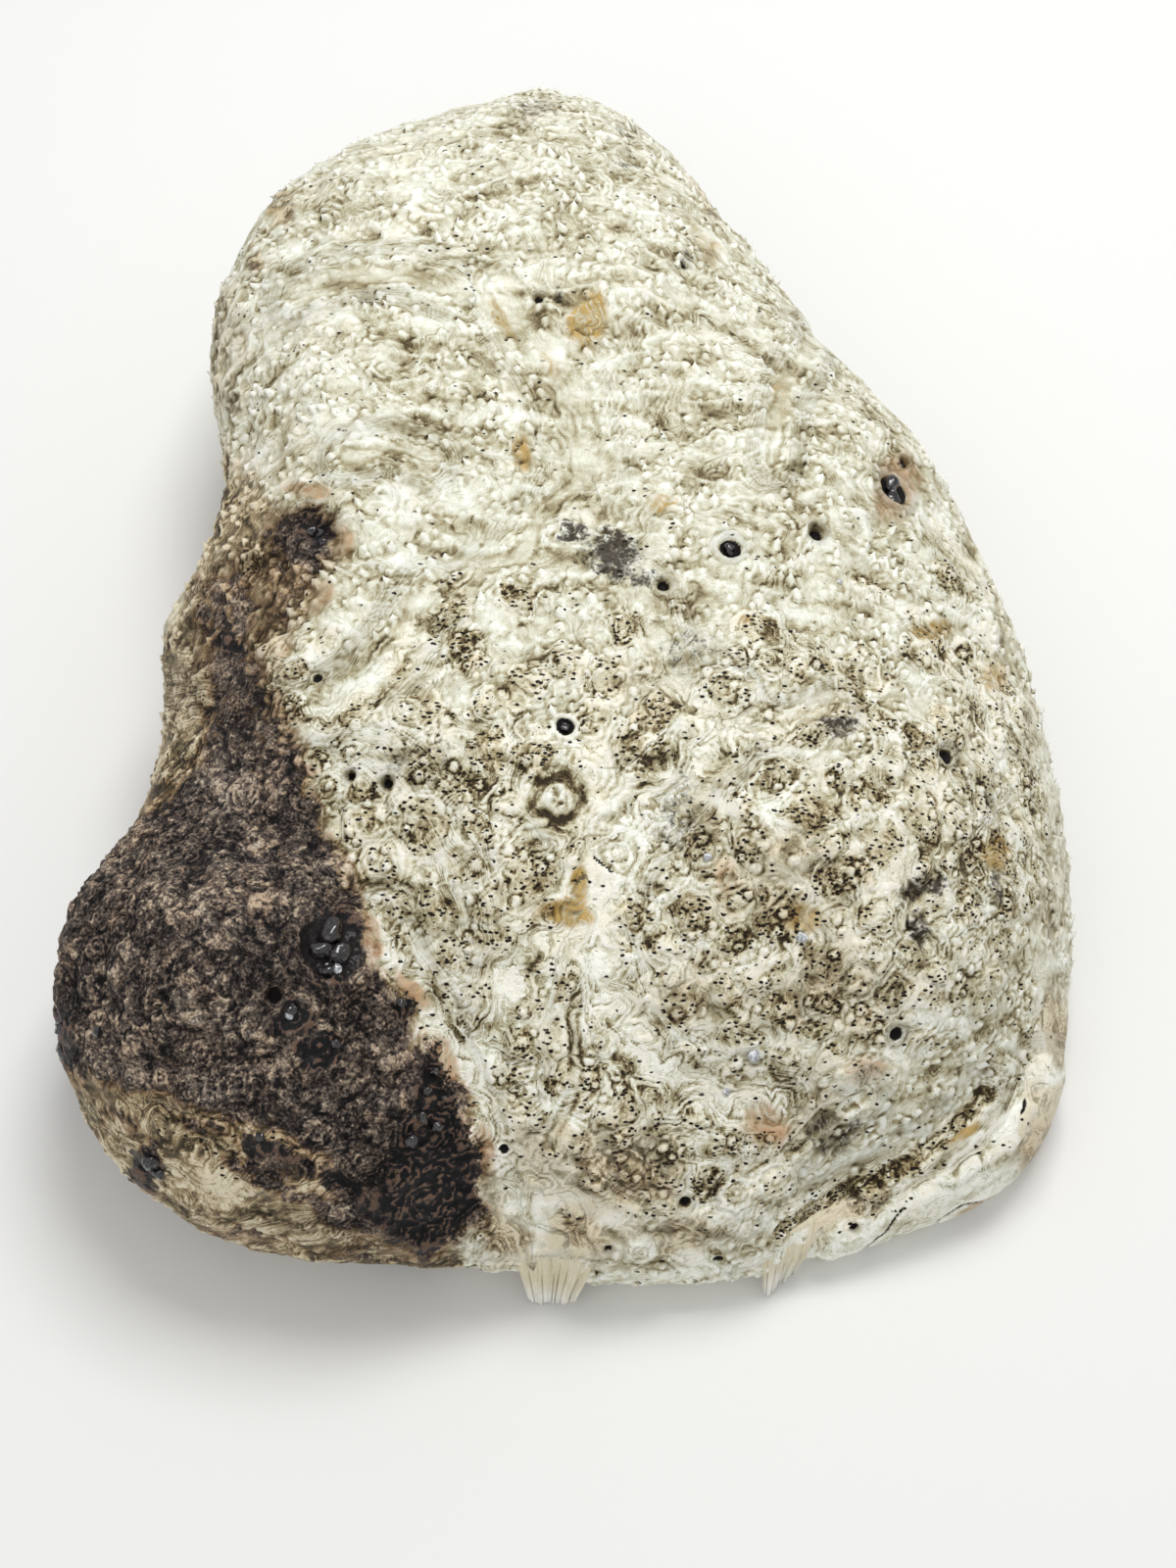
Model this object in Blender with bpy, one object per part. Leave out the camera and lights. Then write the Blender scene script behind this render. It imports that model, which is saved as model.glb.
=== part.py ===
"""Burl cap: the domed outside of a tree burl, sawn off its trunk on one flat face.

The cap grew as one piece of wood, so it is one solid. It starts as a round growth whose girth,
height of girth and squareness change round the compass. Swells and creases then shape its lobes
and folds, buds cover its skin, and the saw leaves the flat face that it rests on.

Units are metres. +Z is up, the sawn face lies at Z = 0, and the low, folded edge faces -Y.
"""

import math
import random
from collections import namedtuple

import bmesh
import bpy
import numpy as np
from mathutils import Vector, noise

MM = 0.001

# The growth as a whole
TOP_HEIGHT = 134 * MM
HEART = (-5 * MM, 30 * MM)
SAW_BELOW_GIRTH = math.radians(28)
SPHERE_SUBDIVISIONS = 6
SWELL_FADE = math.radians(25)

# One compass direction from the heart: how far out the girth lies, how high above the sawn face,
# and how square the upright section is there, where 2 is an ellipse and 4 nearly a box.
Rim = namedtuple("Rim", "compass_deg girth_mm girth_height_mm squareness")
RIMS = (
    Rim(0, 173, 30, 2.2),
    Rim(11, 165, 34, 2.2),
    Rim(25, 163, 38, 2.3),
    Rim(38, 163, 42, 2.3),
    Rim(55, 175, 45, 2.2),
    Rim(72, 214, 45, 2.2),
    Rim(90, 284, 45, 2.2),
    Rim(106, 264, 48, 2.5),
    Rim(121, 245, 52, 2.9),
    Rim(137, 202, 55, 3.3),
    Rim(155, 153, 52, 3.6),
    Rim(171, 140, 45, 3.8),
    Rim(186, 157, 34, 3.4),
    Rim(197, 161, 34, 2.9),
    Rim(207, 182, 40, 2.6),
    Rim(219, 236, 46, 2.5),
    Rim(233, 265, 44, 2.4),
    Rim(246, 264, 38, 2.3),
    Rim(257, 251, 30, 2.2),
    Rim(269, 246, 18, 2.0),
    Rim(282, 251, 8, 1.9),
    Rim(295, 255, 6, 1.9),
    Rim(309, 262, 8, 1.9),
    Rim(323, 231, 12, 2.0),
    Rim(338, 201, 22, 2.1),
)

# Broad rounded lobes, and hollows with a negative height
Swell = namedtuple("Swell", "x_mm y_mm half_x_mm half_y_mm turn_deg height_mm")
SWELLS = {
    "bark_lobe": Swell(-124, -136, 46, 46, 0, 15),
    "near_dome": Swell(80, -96, 80, 66, 15, 16),
    "far_dome": Swell(-30, 200, 75, 70, 0, 12),
    "right_shoulder": Swell(100, 60, 55, 62, -30, 6),
    "left_ridge": Swell(-92, 60, 26, 85, 5, 12),
    "hollow_behind_bark": Swell(-150, -60, 26, 26, 0, -10),
    "crown_saddle": Swell(15, 60, 60, 45, 0, -5),
    "skirt": Swell(118, -175, 80, 36, 25, -14),
}

# Folds between lobes, and lips with a positive height. Points are (x, y) in millimetres.
Crease = namedtuple("Crease", "height_mm half_width_mm points_mm")
CREASES = {
    "bark_valley": Crease(
        -17,
        14,
        ((-168, -66), (-146, -74), (-122, -84), (-98, -94), (-71, -121), (-50, -152), (-36, -205)),
    ),
    "near_river": Crease(
        -5, 10, ((46, -62), (20, -88), (4, -110), (1, -130), (14, -154), (34, -168), (64, -172))
    ),
    "far_river": Crease(-5, 11, ((-42, 180), (-30, 126), (-7, 92), (0, 55))),
    "skirt_fold": Crease(-10, 9, ((78, -196), (104, -182), (124, -168), (142, -153), (153, -136))),
    "skirt_lip": Crease(8, 9, ((72, -212), (112, -201), (140, -186), (163, -164), (170, -146))),
    "right_fold": Crease(-4, 9, ((118, 20), (132, 2), (146, -22))),
}

# Single knots: their rim stands up by height and their middle by eye, which may sink
Knot = namedtuple("Knot", "x_mm y_mm radius_mm height_mm eye_mm")
KNOTS = {
    "ringed_knob": Knot(-9, -83, 12, -4, 5),
    "round_hole": Knot(-7, -57, 8, 2, -6),
    "grey_hollow": Knot(7, 9, 11, 1, -6),
    "brown_knot": Knot(51, 13, 8, 2, -5),
    "black_knot": Knot(116, 62, 11, 4, -8),
    "right_hole": Knot(126, -58, 8, 2, -5),
    "dark_smear": Knot(113, -111, 11, 0, -5),
    "low_hole": Knot(106, -148, 8, 2, -5),
    "glossy_knob": Knot(-83, -135, 13, 3, 9),
    "glossy_pit": Knot(-95, -158, 8, 2, -4),
    "whorl": Knot(-52, -196, 15, 4, -4),
    "edge_knob": Knot(-147, -188, 12, 2, 7),
    "far_left_knob": Knot(-182, -146, 11, 1, 7),
    "low_knob": Knot(17, -212, 10, 2, 6),
    "curled_knob": Knot(57, -208, 12, 3, 7),
}

# The skin of buds
BUD_HEIGHT = 3.4 * MM
BUD_LEAST, BUD_MOST = 0.45, 1.25
SCATTER = 0.16
LUMP_SIZE = 34 * MM
LUMP_HEIGHT = 2.2 * MM
SAW_CLEARANCE = 1 * MM
SAW_FADE = 14 * MM
SEED = 11


def round_the_compass(angles, values):
    """Values given at the rims' compass directions, read smoothly at any other angle."""
    stops = np.radians([rim.compass_deg for rim in RIMS])
    stops = np.concatenate([stops - 2 * np.pi, stops, stops + 2 * np.pi])
    values = np.tile(np.asarray(values, float), 3)
    slopes = np.gradient(values, stops)
    angles = np.mod(angles, 2 * np.pi)
    left = np.searchsorted(stops, angles, side="right") - 1
    gap = stops[left + 1] - stops[left]
    t = (angles - stops[left]) / gap
    start, end = values[left], values[left + 1]
    lead_out, lead_in = slopes[left] * gap, slopes[left + 1] * gap
    return (
        (2 * t**3 - 3 * t**2 + 1) * start
        + (t**3 - 2 * t**2 + t) * lead_out
        + (3 * t**2 - 2 * t**3) * end
        + (t**3 - t**2) * lead_in
    )


def swell_at(plan, swell):
    """How much a swell raises each plan point, in metres."""
    turn = math.radians(swell.turn_deg)
    dx = plan[:, 0] - swell.x_mm * MM
    dy = plan[:, 1] - swell.y_mm * MM
    along = (dx * math.cos(turn) + dy * math.sin(turn)) / (swell.half_x_mm * MM)
    across = (dy * math.cos(turn) - dx * math.sin(turn)) / (swell.half_y_mm * MM)
    return swell.height_mm * MM * np.exp(-(along**2) - across**2)


def crease_at(plan, crease):
    """How much a crease raises each plan point, by its distance from the nearest stretch."""
    points = np.array(crease.points_mm, float) * MM
    nearest = np.full(len(plan), np.inf)
    for start, end in zip(points[:-1], points[1:]):
        run = end - start
        share = np.clip((plan - start) @ run / (run @ run), 0, 1)
        away = np.linalg.norm(plan - start - share[:, None] * run, axis=1)
        nearest = np.minimum(nearest, away)
    return crease.height_mm * MM * np.exp(-((nearest / (crease.half_width_mm * MM)) ** 2))


def knot_at(plan, knot):
    """A raised or sunk ring with its own middle."""
    away = np.hypot(plan[:, 0] - knot.x_mm * MM, plan[:, 1] - knot.y_mm * MM)
    away = away / (knot.radius_mm * MM)
    rim = knot.height_mm * np.exp(-(((away - 1) / 0.45) ** 2))
    eye = knot.eye_mm * np.exp(-((away / 0.6) ** 2))
    return (rim + eye) * MM


def grown_surface(directions):
    """Takes unit directions in the upper half space to points on the bare growth."""
    compass = np.arctan2(directions[:, 1], directions[:, 0])
    climb = np.arcsin(np.clip(directions[:, 2], 0, 1))
    climb = climb * (1 + SAW_BELOW_GIRTH / (np.pi / 2)) - SAW_BELOW_GIRTH
    girth = round_the_compass(compass, [rim.girth_mm * MM for rim in RIMS])
    waist = round_the_compass(compass, [rim.girth_height_mm * MM for rim in RIMS])
    square = round_the_compass(compass, [rim.squareness for rim in RIMS])
    level, rise = np.cos(climb), np.clip(np.sin(climb), 0, 1)
    fuller = (np.abs(level) ** square + rise**square) ** (-1 / square)
    above = climb >= 0
    reach = girth * np.where(above, level * fuller, level)
    tuck = 1 + np.sin(climb) / math.sin(SAW_BELOW_GIRTH)
    height = np.where(above, waist + (TOP_HEIGHT - waist) * rise * fuller, waist * tuck)
    plan = np.stack([HEART[0] + reach * np.cos(compass), HEART[1] + reach * np.sin(compass)], 1)
    fade = np.clip(climb / SWELL_FADE, 0, 1)
    fade = fade * fade * (3 - 2 * fade)
    shapes = [swell_at(plan, swell) for swell in SWELLS.values()]
    shapes += [crease_at(plan, crease) for crease in CREASES.values()]
    shapes += [knot_at(plan, knot) for knot in KNOTS.values()]
    return np.column_stack([plan, height + fade * sum(shapes)])


def half_ball():
    """A geodesic half ball of unit size, open at its flat side, with its rim on a circle."""
    ball = bmesh.new()
    bmesh.ops.create_icosphere(ball, subdivisions=SPHERE_SUBDIVISIONS, radius=1)
    spacing = math.sqrt(4 * math.pi / len(ball.verts))
    lower = [v for v in ball.verts if v.co.z < -spacing / 2]
    bmesh.ops.delete(ball, geom=lower, context="VERTS")
    for edge in ball.edges:
        if edge.is_boundary:
            for vert in edge.verts:
                vert.co.z = 0
                vert.co.normalize()
    return ball


def grow(ball):
    """Moves the half ball's points out to the growth, a little off their even spacing."""
    draw = random.Random(SEED)
    spacing = math.sqrt(2 * math.pi / len(ball.verts))
    rim = {vert for edge in ball.edges if edge.is_boundary for vert in edge.verts}
    ball.verts.ensure_lookup_table()
    directions = []
    for vert in ball.verts:
        step = Vector([draw.uniform(-1, 1) for _ in range(3)]) * spacing * SCATTER
        moved = vert.co.copy() if vert in rim else (vert.co + step).normalized()
        moved.z = max(moved.z, 0)
        directions.append(moved.normalized())
    for vert, place in zip(ball.verts, grown_surface(np.array(directions))):
        vert.co = place
        if vert in rim:
            vert.co.z = 0


def saw_flat(ball):
    """Closes the open side with the one flat sawn face."""
    rim = [edge for edge in ball.edges if edge.is_boundary]
    bmesh.ops.contextual_create(ball, geom=rim)
    bmesh.ops.recalc_face_normals(ball, faces=ball.faces)


def raise_buds(ball):
    """Raises every point that has no raised neighbour, which packs the buds side by side."""
    draw = random.Random(SEED + 1)
    ball.normal_update()
    sawn = max(ball.faces, key=lambda face: len(face.verts))
    closed = set(sawn.verts)
    moves = {}
    for vert in sorted(ball.verts, key=lambda v: v.index):
        if vert in sawn.verts:
            continue
        above_saw = min(1, max(0, (vert.co.z - SAW_CLEARANCE) / SAW_FADE))
        lump = noise.noise(vert.co / LUMP_SIZE) * LUMP_HEIGHT
        moves[vert] = vert.normal * lump * above_saw
        if vert in closed:
            continue
        size = BUD_HEIGHT * draw.uniform(BUD_LEAST, BUD_MOST)
        moves[vert] += vert.normal * size * above_saw
        closed.add(vert)
        closed.update(edge.other_vert(vert) for edge in vert.link_edges)
    for vert, move in moves.items():
        vert.co += move


def shade(ball):
    """Rounds the shading of the grown skin and keeps the sawn face and its edge crisp."""
    sawn = max(ball.faces, key=lambda face: len(face.verts))
    for face in ball.faces:
        face.smooth = face is not sawn
    for edge in sawn.edges:
        edge.smooth = False


def centre_on_base(ball):
    """Puts the origin under the middle of the solid's box, on the sawn face."""
    points = np.array([vert.co for vert in ball.verts])
    middle = (points.min(axis=0) + points.max(axis=0)) / 2
    bmesh.ops.translate(ball, verts=ball.verts, vec=(-middle[0], -middle[1], 0))


def bleached_wood():
    """Pale, dry, barkless burl wood."""
    wood = bpy.data.materials.new("bleached_burl_wood")
    wood.use_nodes = True
    shader = wood.node_tree.nodes["Principled BSDF"]
    shader.inputs["Base Color"].default_value = (0.66, 0.60, 0.46, 1)
    shader.inputs["Roughness"].default_value = 0.72
    shader.inputs["Metallic"].default_value = 0
    return wood


def main():
    """Builds the cap in its own collection."""
    for old in list(bpy.data.objects):
        bpy.data.objects.remove(old)
    ball = half_ball()
    grow(ball)
    saw_flat(ball)
    raise_buds(ball)
    shade(ball)
    centre_on_base(ball)
    mesh = bpy.data.meshes.new("burl_cap")
    ball.to_mesh(mesh)
    ball.free()
    mesh.materials.append(bleached_wood())
    cap = bpy.data.objects.new("burl_cap", mesh)
    shelf = bpy.data.collections.new("Burl cap")
    bpy.context.scene.collection.children.link(shelf)
    shelf.objects.link(cap)


main()
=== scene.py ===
"""Looks of the burl cap: its skin of buds, its bark lobe, resin, torn fibres and sawn underside.

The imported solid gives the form. Its larger-than-life buds are smoothed away, and the bare form that
is left is covered with buds of the real size, swirling grain, eyes, knots and stains. Features that
the photograph shows are named by their pixels in its 1200 x 1600 picture and sit on the surface
that those pixels look at. Lengths are in metres unless a name says otherwise.
"""

import logging
import math
from dataclasses import dataclass, field
from enum import Enum
from typing import Any, Iterable, Sequence

import bmesh
import bpy
import numpy as np
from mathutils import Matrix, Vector
from mathutils.kdtree import KDTree


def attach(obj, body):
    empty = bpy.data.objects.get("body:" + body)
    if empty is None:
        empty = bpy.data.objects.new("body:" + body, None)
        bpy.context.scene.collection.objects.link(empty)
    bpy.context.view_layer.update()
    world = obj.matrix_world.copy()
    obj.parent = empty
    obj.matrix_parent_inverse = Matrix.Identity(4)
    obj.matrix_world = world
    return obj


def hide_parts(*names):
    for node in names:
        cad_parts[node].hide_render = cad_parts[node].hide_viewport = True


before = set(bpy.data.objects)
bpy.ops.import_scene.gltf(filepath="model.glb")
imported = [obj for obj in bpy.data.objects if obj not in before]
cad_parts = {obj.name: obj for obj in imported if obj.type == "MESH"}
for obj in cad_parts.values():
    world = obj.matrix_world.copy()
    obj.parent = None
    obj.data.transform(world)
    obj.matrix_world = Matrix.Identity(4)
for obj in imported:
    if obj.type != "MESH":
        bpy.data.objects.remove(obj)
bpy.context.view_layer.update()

log = logging.getLogger("burl_cap")
MM = 0.001
PIXEL_MM = 0.37
NODE = "burl_cap"
STRIPS = ("near_edge", "near_dome", "middle", "far_shoulder", "far_dome")
Colour = tuple[float, float, float, float]
Stops = tuple[tuple[float, Colour], ...]


def linear(value: int) -> float:
    """Turns one display value, 0 to 255, into its linear share."""
    share = value / 255
    return share / 12.92 if share <= 0.04045 else ((share + 0.055) / 1.055) ** 2.4


def paint(red: int, green: int, blue: int) -> Colour:
    """Turns a display colour into the linear colour that shaders use.

    Args:
        red: Display red, 0 to 255.
        green: Display green, 0 to 255.
        blue: Display blue, 0 to 255.

    Returns:
        Linear red, green, blue and an alpha of one.
    """
    return (linear(red), linear(green), linear(blue), 1.0)


def ease(values: np.ndarray, low: float, high: float) -> np.ndarray:
    """Rises smoothly from 0 at low to 1 at high."""
    t = np.clip((values - low) / (high - low), 0, 1)
    return t * t * (3 - 2 * t)


class Channel(str, Enum):
    """What the skin stores at each of its points for its finish to read."""

    # Signed: in the finish it lightens what stands out and darkens hollows, painted highlight and
    # painted shade.
    CAVITY = "cavity"
    # Lightens small crests in the finish: painted highlight.
    CREST = "crest"
    # Painted shade: darkens the finish beside buds, along stream banks and round knots.
    PAINTED_SHADE = "lee"
    # Lightens bud tips and knob tops in the finish: painted highlight.
    SPIKE = "spike"
    GRAIN = "grain"
    PITS = "pits"
    CALM = "calm"
    STREAM = "stream"
    EYED = "eyed"
    BARK = "bark"
    RESIN = "resin"
    BROWN_AND_SHADE = "brown"
    AMBER = "amber"
    ASH = "ash"
    ROSE = "rose"
    HOLE = "hole"


# Camera and noise


@dataclass(frozen=True)
class PhotoView:
    """The photograph's camera, and which pixel it sees each point at."""

    target: tuple[float, float, float] = (0.0038, -0.0837, 0.05)
    elevation_deg: float = 60
    distance: float = 0.82
    lens_mm: float = 50
    sensor_mm: float = 36
    width: int = 1200
    height: int = 1600

    @property
    def forward(self) -> Vector:
        """The direction that the camera looks in."""
        angle = math.radians(self.elevation_deg)
        return Vector((0, math.cos(angle), -math.sin(angle)))

    @property
    def place(self) -> Vector:
        """Where the camera stands."""
        return Vector(self.target) - self.forward * self.distance

    def pixels(self, points: np.ndarray) -> np.ndarray:
        """Finds the pixels that points are seen at.

        Args:
            points: Points, one a row.

        Returns:
            Pixel across and down, one pair a row.
        """
        forward = np.array(self.forward)
        right = np.array((1.0, 0.0, 0.0))
        up = np.cross(right, forward)
        away = points - np.array(self.place)
        scale = self.height * self.lens_mm / self.sensor_mm / (away @ forward)
        across = self.width / 2 + scale * (away @ right)
        down = self.height / 2 - scale * (away @ up)
        return np.column_stack([across, down])

    def add_camera(self) -> None:
        """Puts the camera in the scene and looks through it."""
        data = bpy.data.cameras.new("photo_camera")
        data.lens = self.lens_mm
        data.sensor_width = self.sensor_mm
        data.clip_end = 20
        camera = bpy.data.objects.new("photo_camera", data)
        camera.location = self.place
        camera.rotation_euler = self.forward.to_track_quat("-Z", "Y").to_euler()
        bpy.context.scene.collection.objects.link(camera)
        bpy.context.scene.camera = camera


class Noise:
    """Smooth seeded noise over points in space, mostly from -1 to 1."""

    def __init__(self, seed: int) -> None:
        """Draws the lattice's directions.

        Args:
            seed: Seed of the draw.
        """
        draw = np.random.default_rng(seed)
        self.order = np.tile(draw.permutation(256), 3)
        slopes = draw.normal(size=(256, 3))
        self.slopes = slopes / np.linalg.norm(slopes, axis=1)[:, None]

    def plain(self, points: np.ndarray) -> np.ndarray:
        """One layer of noise with lattice cells of unit size.

        Args:
            points: Points, one a row, in cells.

        Returns:
            One value a point.
        """
        cell = np.floor(points).astype(int)
        inside = points - cell
        cell &= 255
        blend = inside**3 * (inside * (inside * 6 - 15) + 10)
        total = np.zeros(len(points))
        for corner in np.ndindex(2, 2, 2):
            key = self.order[cell[:, 0] + corner[0]] + cell[:, 1] + corner[1]
            key = self.order[key] + cell[:, 2] + corner[2]
            slope = self.slopes[self.order[key]]
            weight = np.prod(np.where(corner, blend, 1 - blend), axis=1)
            total += weight * np.einsum("ij,ij->i", slope, inside - corner)
        return total * 1.6

    def __call__(self, points: np.ndarray, size: float, layers: int = 1) -> np.ndarray:
        """Noise at points.

        Args:
            points: Points, one a row.
            size: Size of the largest lumps, in metres.
            layers: How many finer and fainter layers to add up.

        Returns:
            One value a point.
        """
        total = np.zeros(len(points))
        for layer in range(layers):
            total += self.plain(points / size * 2**layer + 31.7 * layer) / 2**layer
        return total


# Places in the photograph


@dataclass(frozen=True)
class Patch:
    """A soft-edged oval in the photograph's pixels."""

    across: float
    down: float
    half_across: float
    half_down: float
    turn_deg: float = 0
    strength: float = 1

    def cover(self, pixels: np.ndarray) -> np.ndarray:
        """How much of the patch lies at each pixel.

        Args:
            pixels: Pixels, one a row.

        Returns:
            One share a pixel.
        """
        turn = math.radians(self.turn_deg)
        dx, dy = pixels[:, 0] - self.across, pixels[:, 1] - self.down
        along = (dx * math.cos(turn) + dy * math.sin(turn)) / self.half_across
        aside = (dy * math.cos(turn) - dx * math.sin(turn)) / self.half_down
        return self.strength * (1 - ease(np.hypot(along, aside), 0.45, 1.25))


def patches(*rows: tuple[float, ...]) -> tuple[Patch, ...]:
    """Makes one patch of each row of numbers."""
    return tuple(Patch(*row) for row in rows)


@dataclass(frozen=True)
class Outline:
    """A closed area in the photograph's pixels, with a soft edge."""

    corners: tuple[tuple[float, float], ...]
    edge: float = 8
    strength: float = 1

    def cover(self, pixels: np.ndarray) -> np.ndarray:
        """How much of the area lies at each pixel.

        Args:
            pixels: Pixels, one a row.

        Returns:
            One share a pixel.
        """
        nearest = np.full(len(pixels), np.inf)
        inside = np.zeros(len(pixels), bool)
        x, y = pixels[:, 0], pixels[:, 1]
        for (ax, ay), (bx, by) in zip(self.corners, self.corners[1:] + self.corners[:1]):
            nearest = np.minimum(nearest, gap_to_line(pixels, (ax, ay), (bx, by)))
            if ay != by:
                crosses = (ay > y) != (by > y)
                inside ^= crosses & (x < (bx - ax) * (y - ay) / (by - ay) + ax)
        gap = np.where(inside, nearest, -nearest)
        return self.strength * ease(gap, -self.edge, self.edge)


@dataclass(frozen=True)
class Stream:
    """A smooth channel of long fibres, along a path in the photograph's pixels."""

    path: tuple[tuple[float, float], ...]
    half_width: float

    def cover(self, pixels: np.ndarray) -> np.ndarray:
        """How much of the channel lies at each pixel."""
        return 1 - ease(self.gap(pixels), 0.5 * self.half_width, 1.4 * self.half_width)

    def gap(self, pixels: np.ndarray) -> np.ndarray:
        """How far each pixel is from the path."""
        legs = zip(self.path, self.path[1:])
        return np.min([gap_to_line(pixels, start, end) for start, end in legs], axis=0)

    def side(self, pixels: np.ndarray) -> np.ndarray:
        """How far each pixel is from the path, below zero on its left.

        Args:
            pixels: Pixels, one a row.

        Returns:
            One distance a pixel.
        """
        best = np.full(len(pixels), np.inf)
        signed = np.zeros(len(pixels))
        for start, end in zip(self.path, self.path[1:]):
            gap = gap_to_line(pixels, start, end)
            run = np.subtract(end, start)
            away = pixels - start
            turn = np.sign(run[0] * away[:, 1] - run[1] * away[:, 0])
            nearer = gap < best
            signed = np.where(nearer, turn * gap, signed)
            best = np.minimum(best, gap)
        return signed


def gap_to_line(pixels: np.ndarray, start: Sequence[float], end: Sequence[float]) -> np.ndarray:
    """How far pixels are from a straight stretch.

    Args:
        pixels: Pixels, one a row.
        start: Where the stretch starts.
        end: Where it ends.

    Returns:
        One distance a pixel.
    """
    run = np.subtract(end, start)
    away = pixels - start
    share = np.clip(away @ run / (run @ run), 0, 1)
    return np.linalg.norm(away - share[:, None] * run, axis=1)


class KnotKind(Enum):
    """What a single knot looks like."""

    HOLE = "hole"
    KNOB = "knob"
    WHORL = "whorl"
    PLUG = "plug"


@dataclass(frozen=True)
class Knot:
    """One knot that the photograph shows, by its pixel and its radius in pixels."""

    kind: KnotKind
    across: float
    down: float
    radius: float


NECK = Outline(
    (
        (218, 672), (260, 672), (286, 720), (300, 786), (262, 806), (208, 796), (212, 720),
    ),
    15,
    0.7,
)
BARK = (
    Outline(
        (
            (110, 858), (160, 826), (196, 790), (222, 770), (262, 752), (306, 768), (316, 815),
            (336, 862), (362, 905), (374, 945), (380, 985), (412, 1018), (424, 1052), (404, 1086),
            (440, 1066), (462, 1118), (490, 1180), (492, 1236), (440, 1284), (396, 1266),
            (356, 1230), (330, 1180), (280, 1150), (230, 1136), (180, 1118), (108, 1106),
            (58, 1090), (40, 1060), (44, 940), (80, 885),
        ),
        20,
    ),
    NECK,
    Outline(
        (
            (204, 606), (228, 578), (262, 580), (266, 640), (258, 690), (214, 690), (198, 650),
        ),
        15,
        0.5,
    ),
    Outline(((266, 590), (300, 564), (326, 578), (308, 606), (288, 636), (266, 640)), 12, 0.45),
    Outline(
        (
            (272, 546), (288, 522), (328, 515), (344, 535), (338, 570), (318, 588), (290, 574),
        ),
        11,
        0.8,
    ),
    *patches(
        (290, 1184, 50, 14, 25, 0.95), (362, 1212, 40, 18, 35, 0.95), (152, 1190, 16, 26, 15, 1),
        (400, 1252, 40, 20, 20, 0.8), (262, 1196, 44, 14, 20, 0.75), (304, 1224, 38, 11, 20, 0.6),
        (352, 1240, 38, 20, 30, 0.9), (356, 1284, 26, 9, 12, 0.6), (206, 1152, 44, 9, 22, 0.55),
        (120, 1142, 26, 12, 40, 0.55), (250, 1262, 40, 8, 14, 0.5), (212, 470, 10, 50, 0, 0.35),
    ),
)
RESIN = (
    Outline(
        (
            (428, 1096), (446, 1062), (462, 1120), (490, 1180), (488, 1238), (436, 1284),
            (392, 1262), (362, 1226), (400, 1204), (410, 1150),
        ),
        12,
    ),
    *patches(
        (350, 1204, 34, 14, 35, 0.8), (292, 1176, 26, 10, 20, 0.7), (342, 962, 34, 50, 10),
        (300, 1042, 22, 18), (325, 1072, 30, 22), (58, 1062, 20, 34), (152, 1192, 20, 26),
        (262, 1168, 20, 14), (415, 1030, 12, 16), (322, 545, 18, 14, 0, 0.8),
        (232, 655, 18, 16, 0, 0.8), (200, 885, 16, 20, 0, 0.5),
    ),
)
# The near underside of the lobe, tan: partly its own colour, partly painted shade on a face that
# looks down, away from the light.
TAN_UNDERSIDE = Outline(
    (
        (20, 1060), (110, 1060), (182, 1080), (246, 1110), (330, 1150), (420, 1200), (470, 1286),
        (500, 1330), (290, 1330), (150, 1290), (70, 1204),
    ),
    14,
)
# Brown areas: partly the wood's own brown and tan, partly painted shade on the lobe's near underside,
# along the right edge and under the fold beside the pit row.
BROWN_AND_SHADE = (
    Outline(
        (
            (206, 430), (240, 452), (268, 500), (300, 520), (345, 520), (350, 550), (330, 600),
            (286, 660), (300, 740), (330, 850), (300, 900), (160, 880), (110, 850), (150, 690),
            (180, 600),
        ),
        18,
    ),
    TAN_UNDERSIDE,
    Outline(((1070, 1028), (1092, 1040), (1094, 1082), (1076, 1090), (1064, 1070)), 8, 0.8),
    Outline(((1044, 1104), (1096, 1100), (1090, 1150), (1056, 1196), (1030, 1180)), 10, 0.75),
    # The patches along the right edge, across 1020 to 1088 and down 640 to 930, and the one under the
    # fold at 866, 1234, are painted shade.
    *patches(
        (232, 360, 28, 100, 0, 0.55), (262, 268, 14, 16), (290, 212, 16, 20, 0, 0.8),
        (1080, 1046, 18, 46, 0, 0.9), (632, 1188, 10, 34, -5, 0.9), (540, 1290, 60, 16, 0, 0.55),
        (640, 1262, 50, 12, 0, 0.5), (760, 1316, 26, 8, 0, 0.9), (936, 1266, 20, 8, -25, 0.7),
        (1088, 860, 12, 60, 0, 0.5), (866, 1234, 62, 14, -27, 0.8), (930, 1268, 24, 14, -25, 0.8),
        (590, 1262, 44, 36, 0, 0.85), (700, 1262, 60, 24, 0, 0.75), (560, 1180, 50, 50, 0, 0.6),
        (520, 1270, 26, 26, 0, 0.8), (1070, 930, 16, 60, 0, 0.5), (1050, 760, 14, 60, 0, 0.5),
        (1020, 640, 12, 50, 0, 0.4), (900, 420, 30, 60, -30, 0.3), (836, 1140, 34, 34, 0, 0.6),
        (500, 1230, 14, 50, 0, 0.6), (700, 1180, 30, 30, 0, 0.35), (720, 1010, 60, 50, 0, 0.5),
        (860, 1010, 90, 60, 0, 0.5), (800, 890, 90, 70, 0, 0.45), (640, 1190, 80, 60, 0, 0.7),
        (660, 690, 60, 60, 0, 0.3), (720, 860, 30, 60, 0, 0.45), (850, 730, 60, 30, 0, 0.35),
        (430, 780, 60, 30, 0, 0.4), (300, 470, 30, 60, 0, 0.4), (720, 200, 14, 40, -30, 0.6),
        (540, 118, 26, 10, 0, 0.5),
    ),
)
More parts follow.
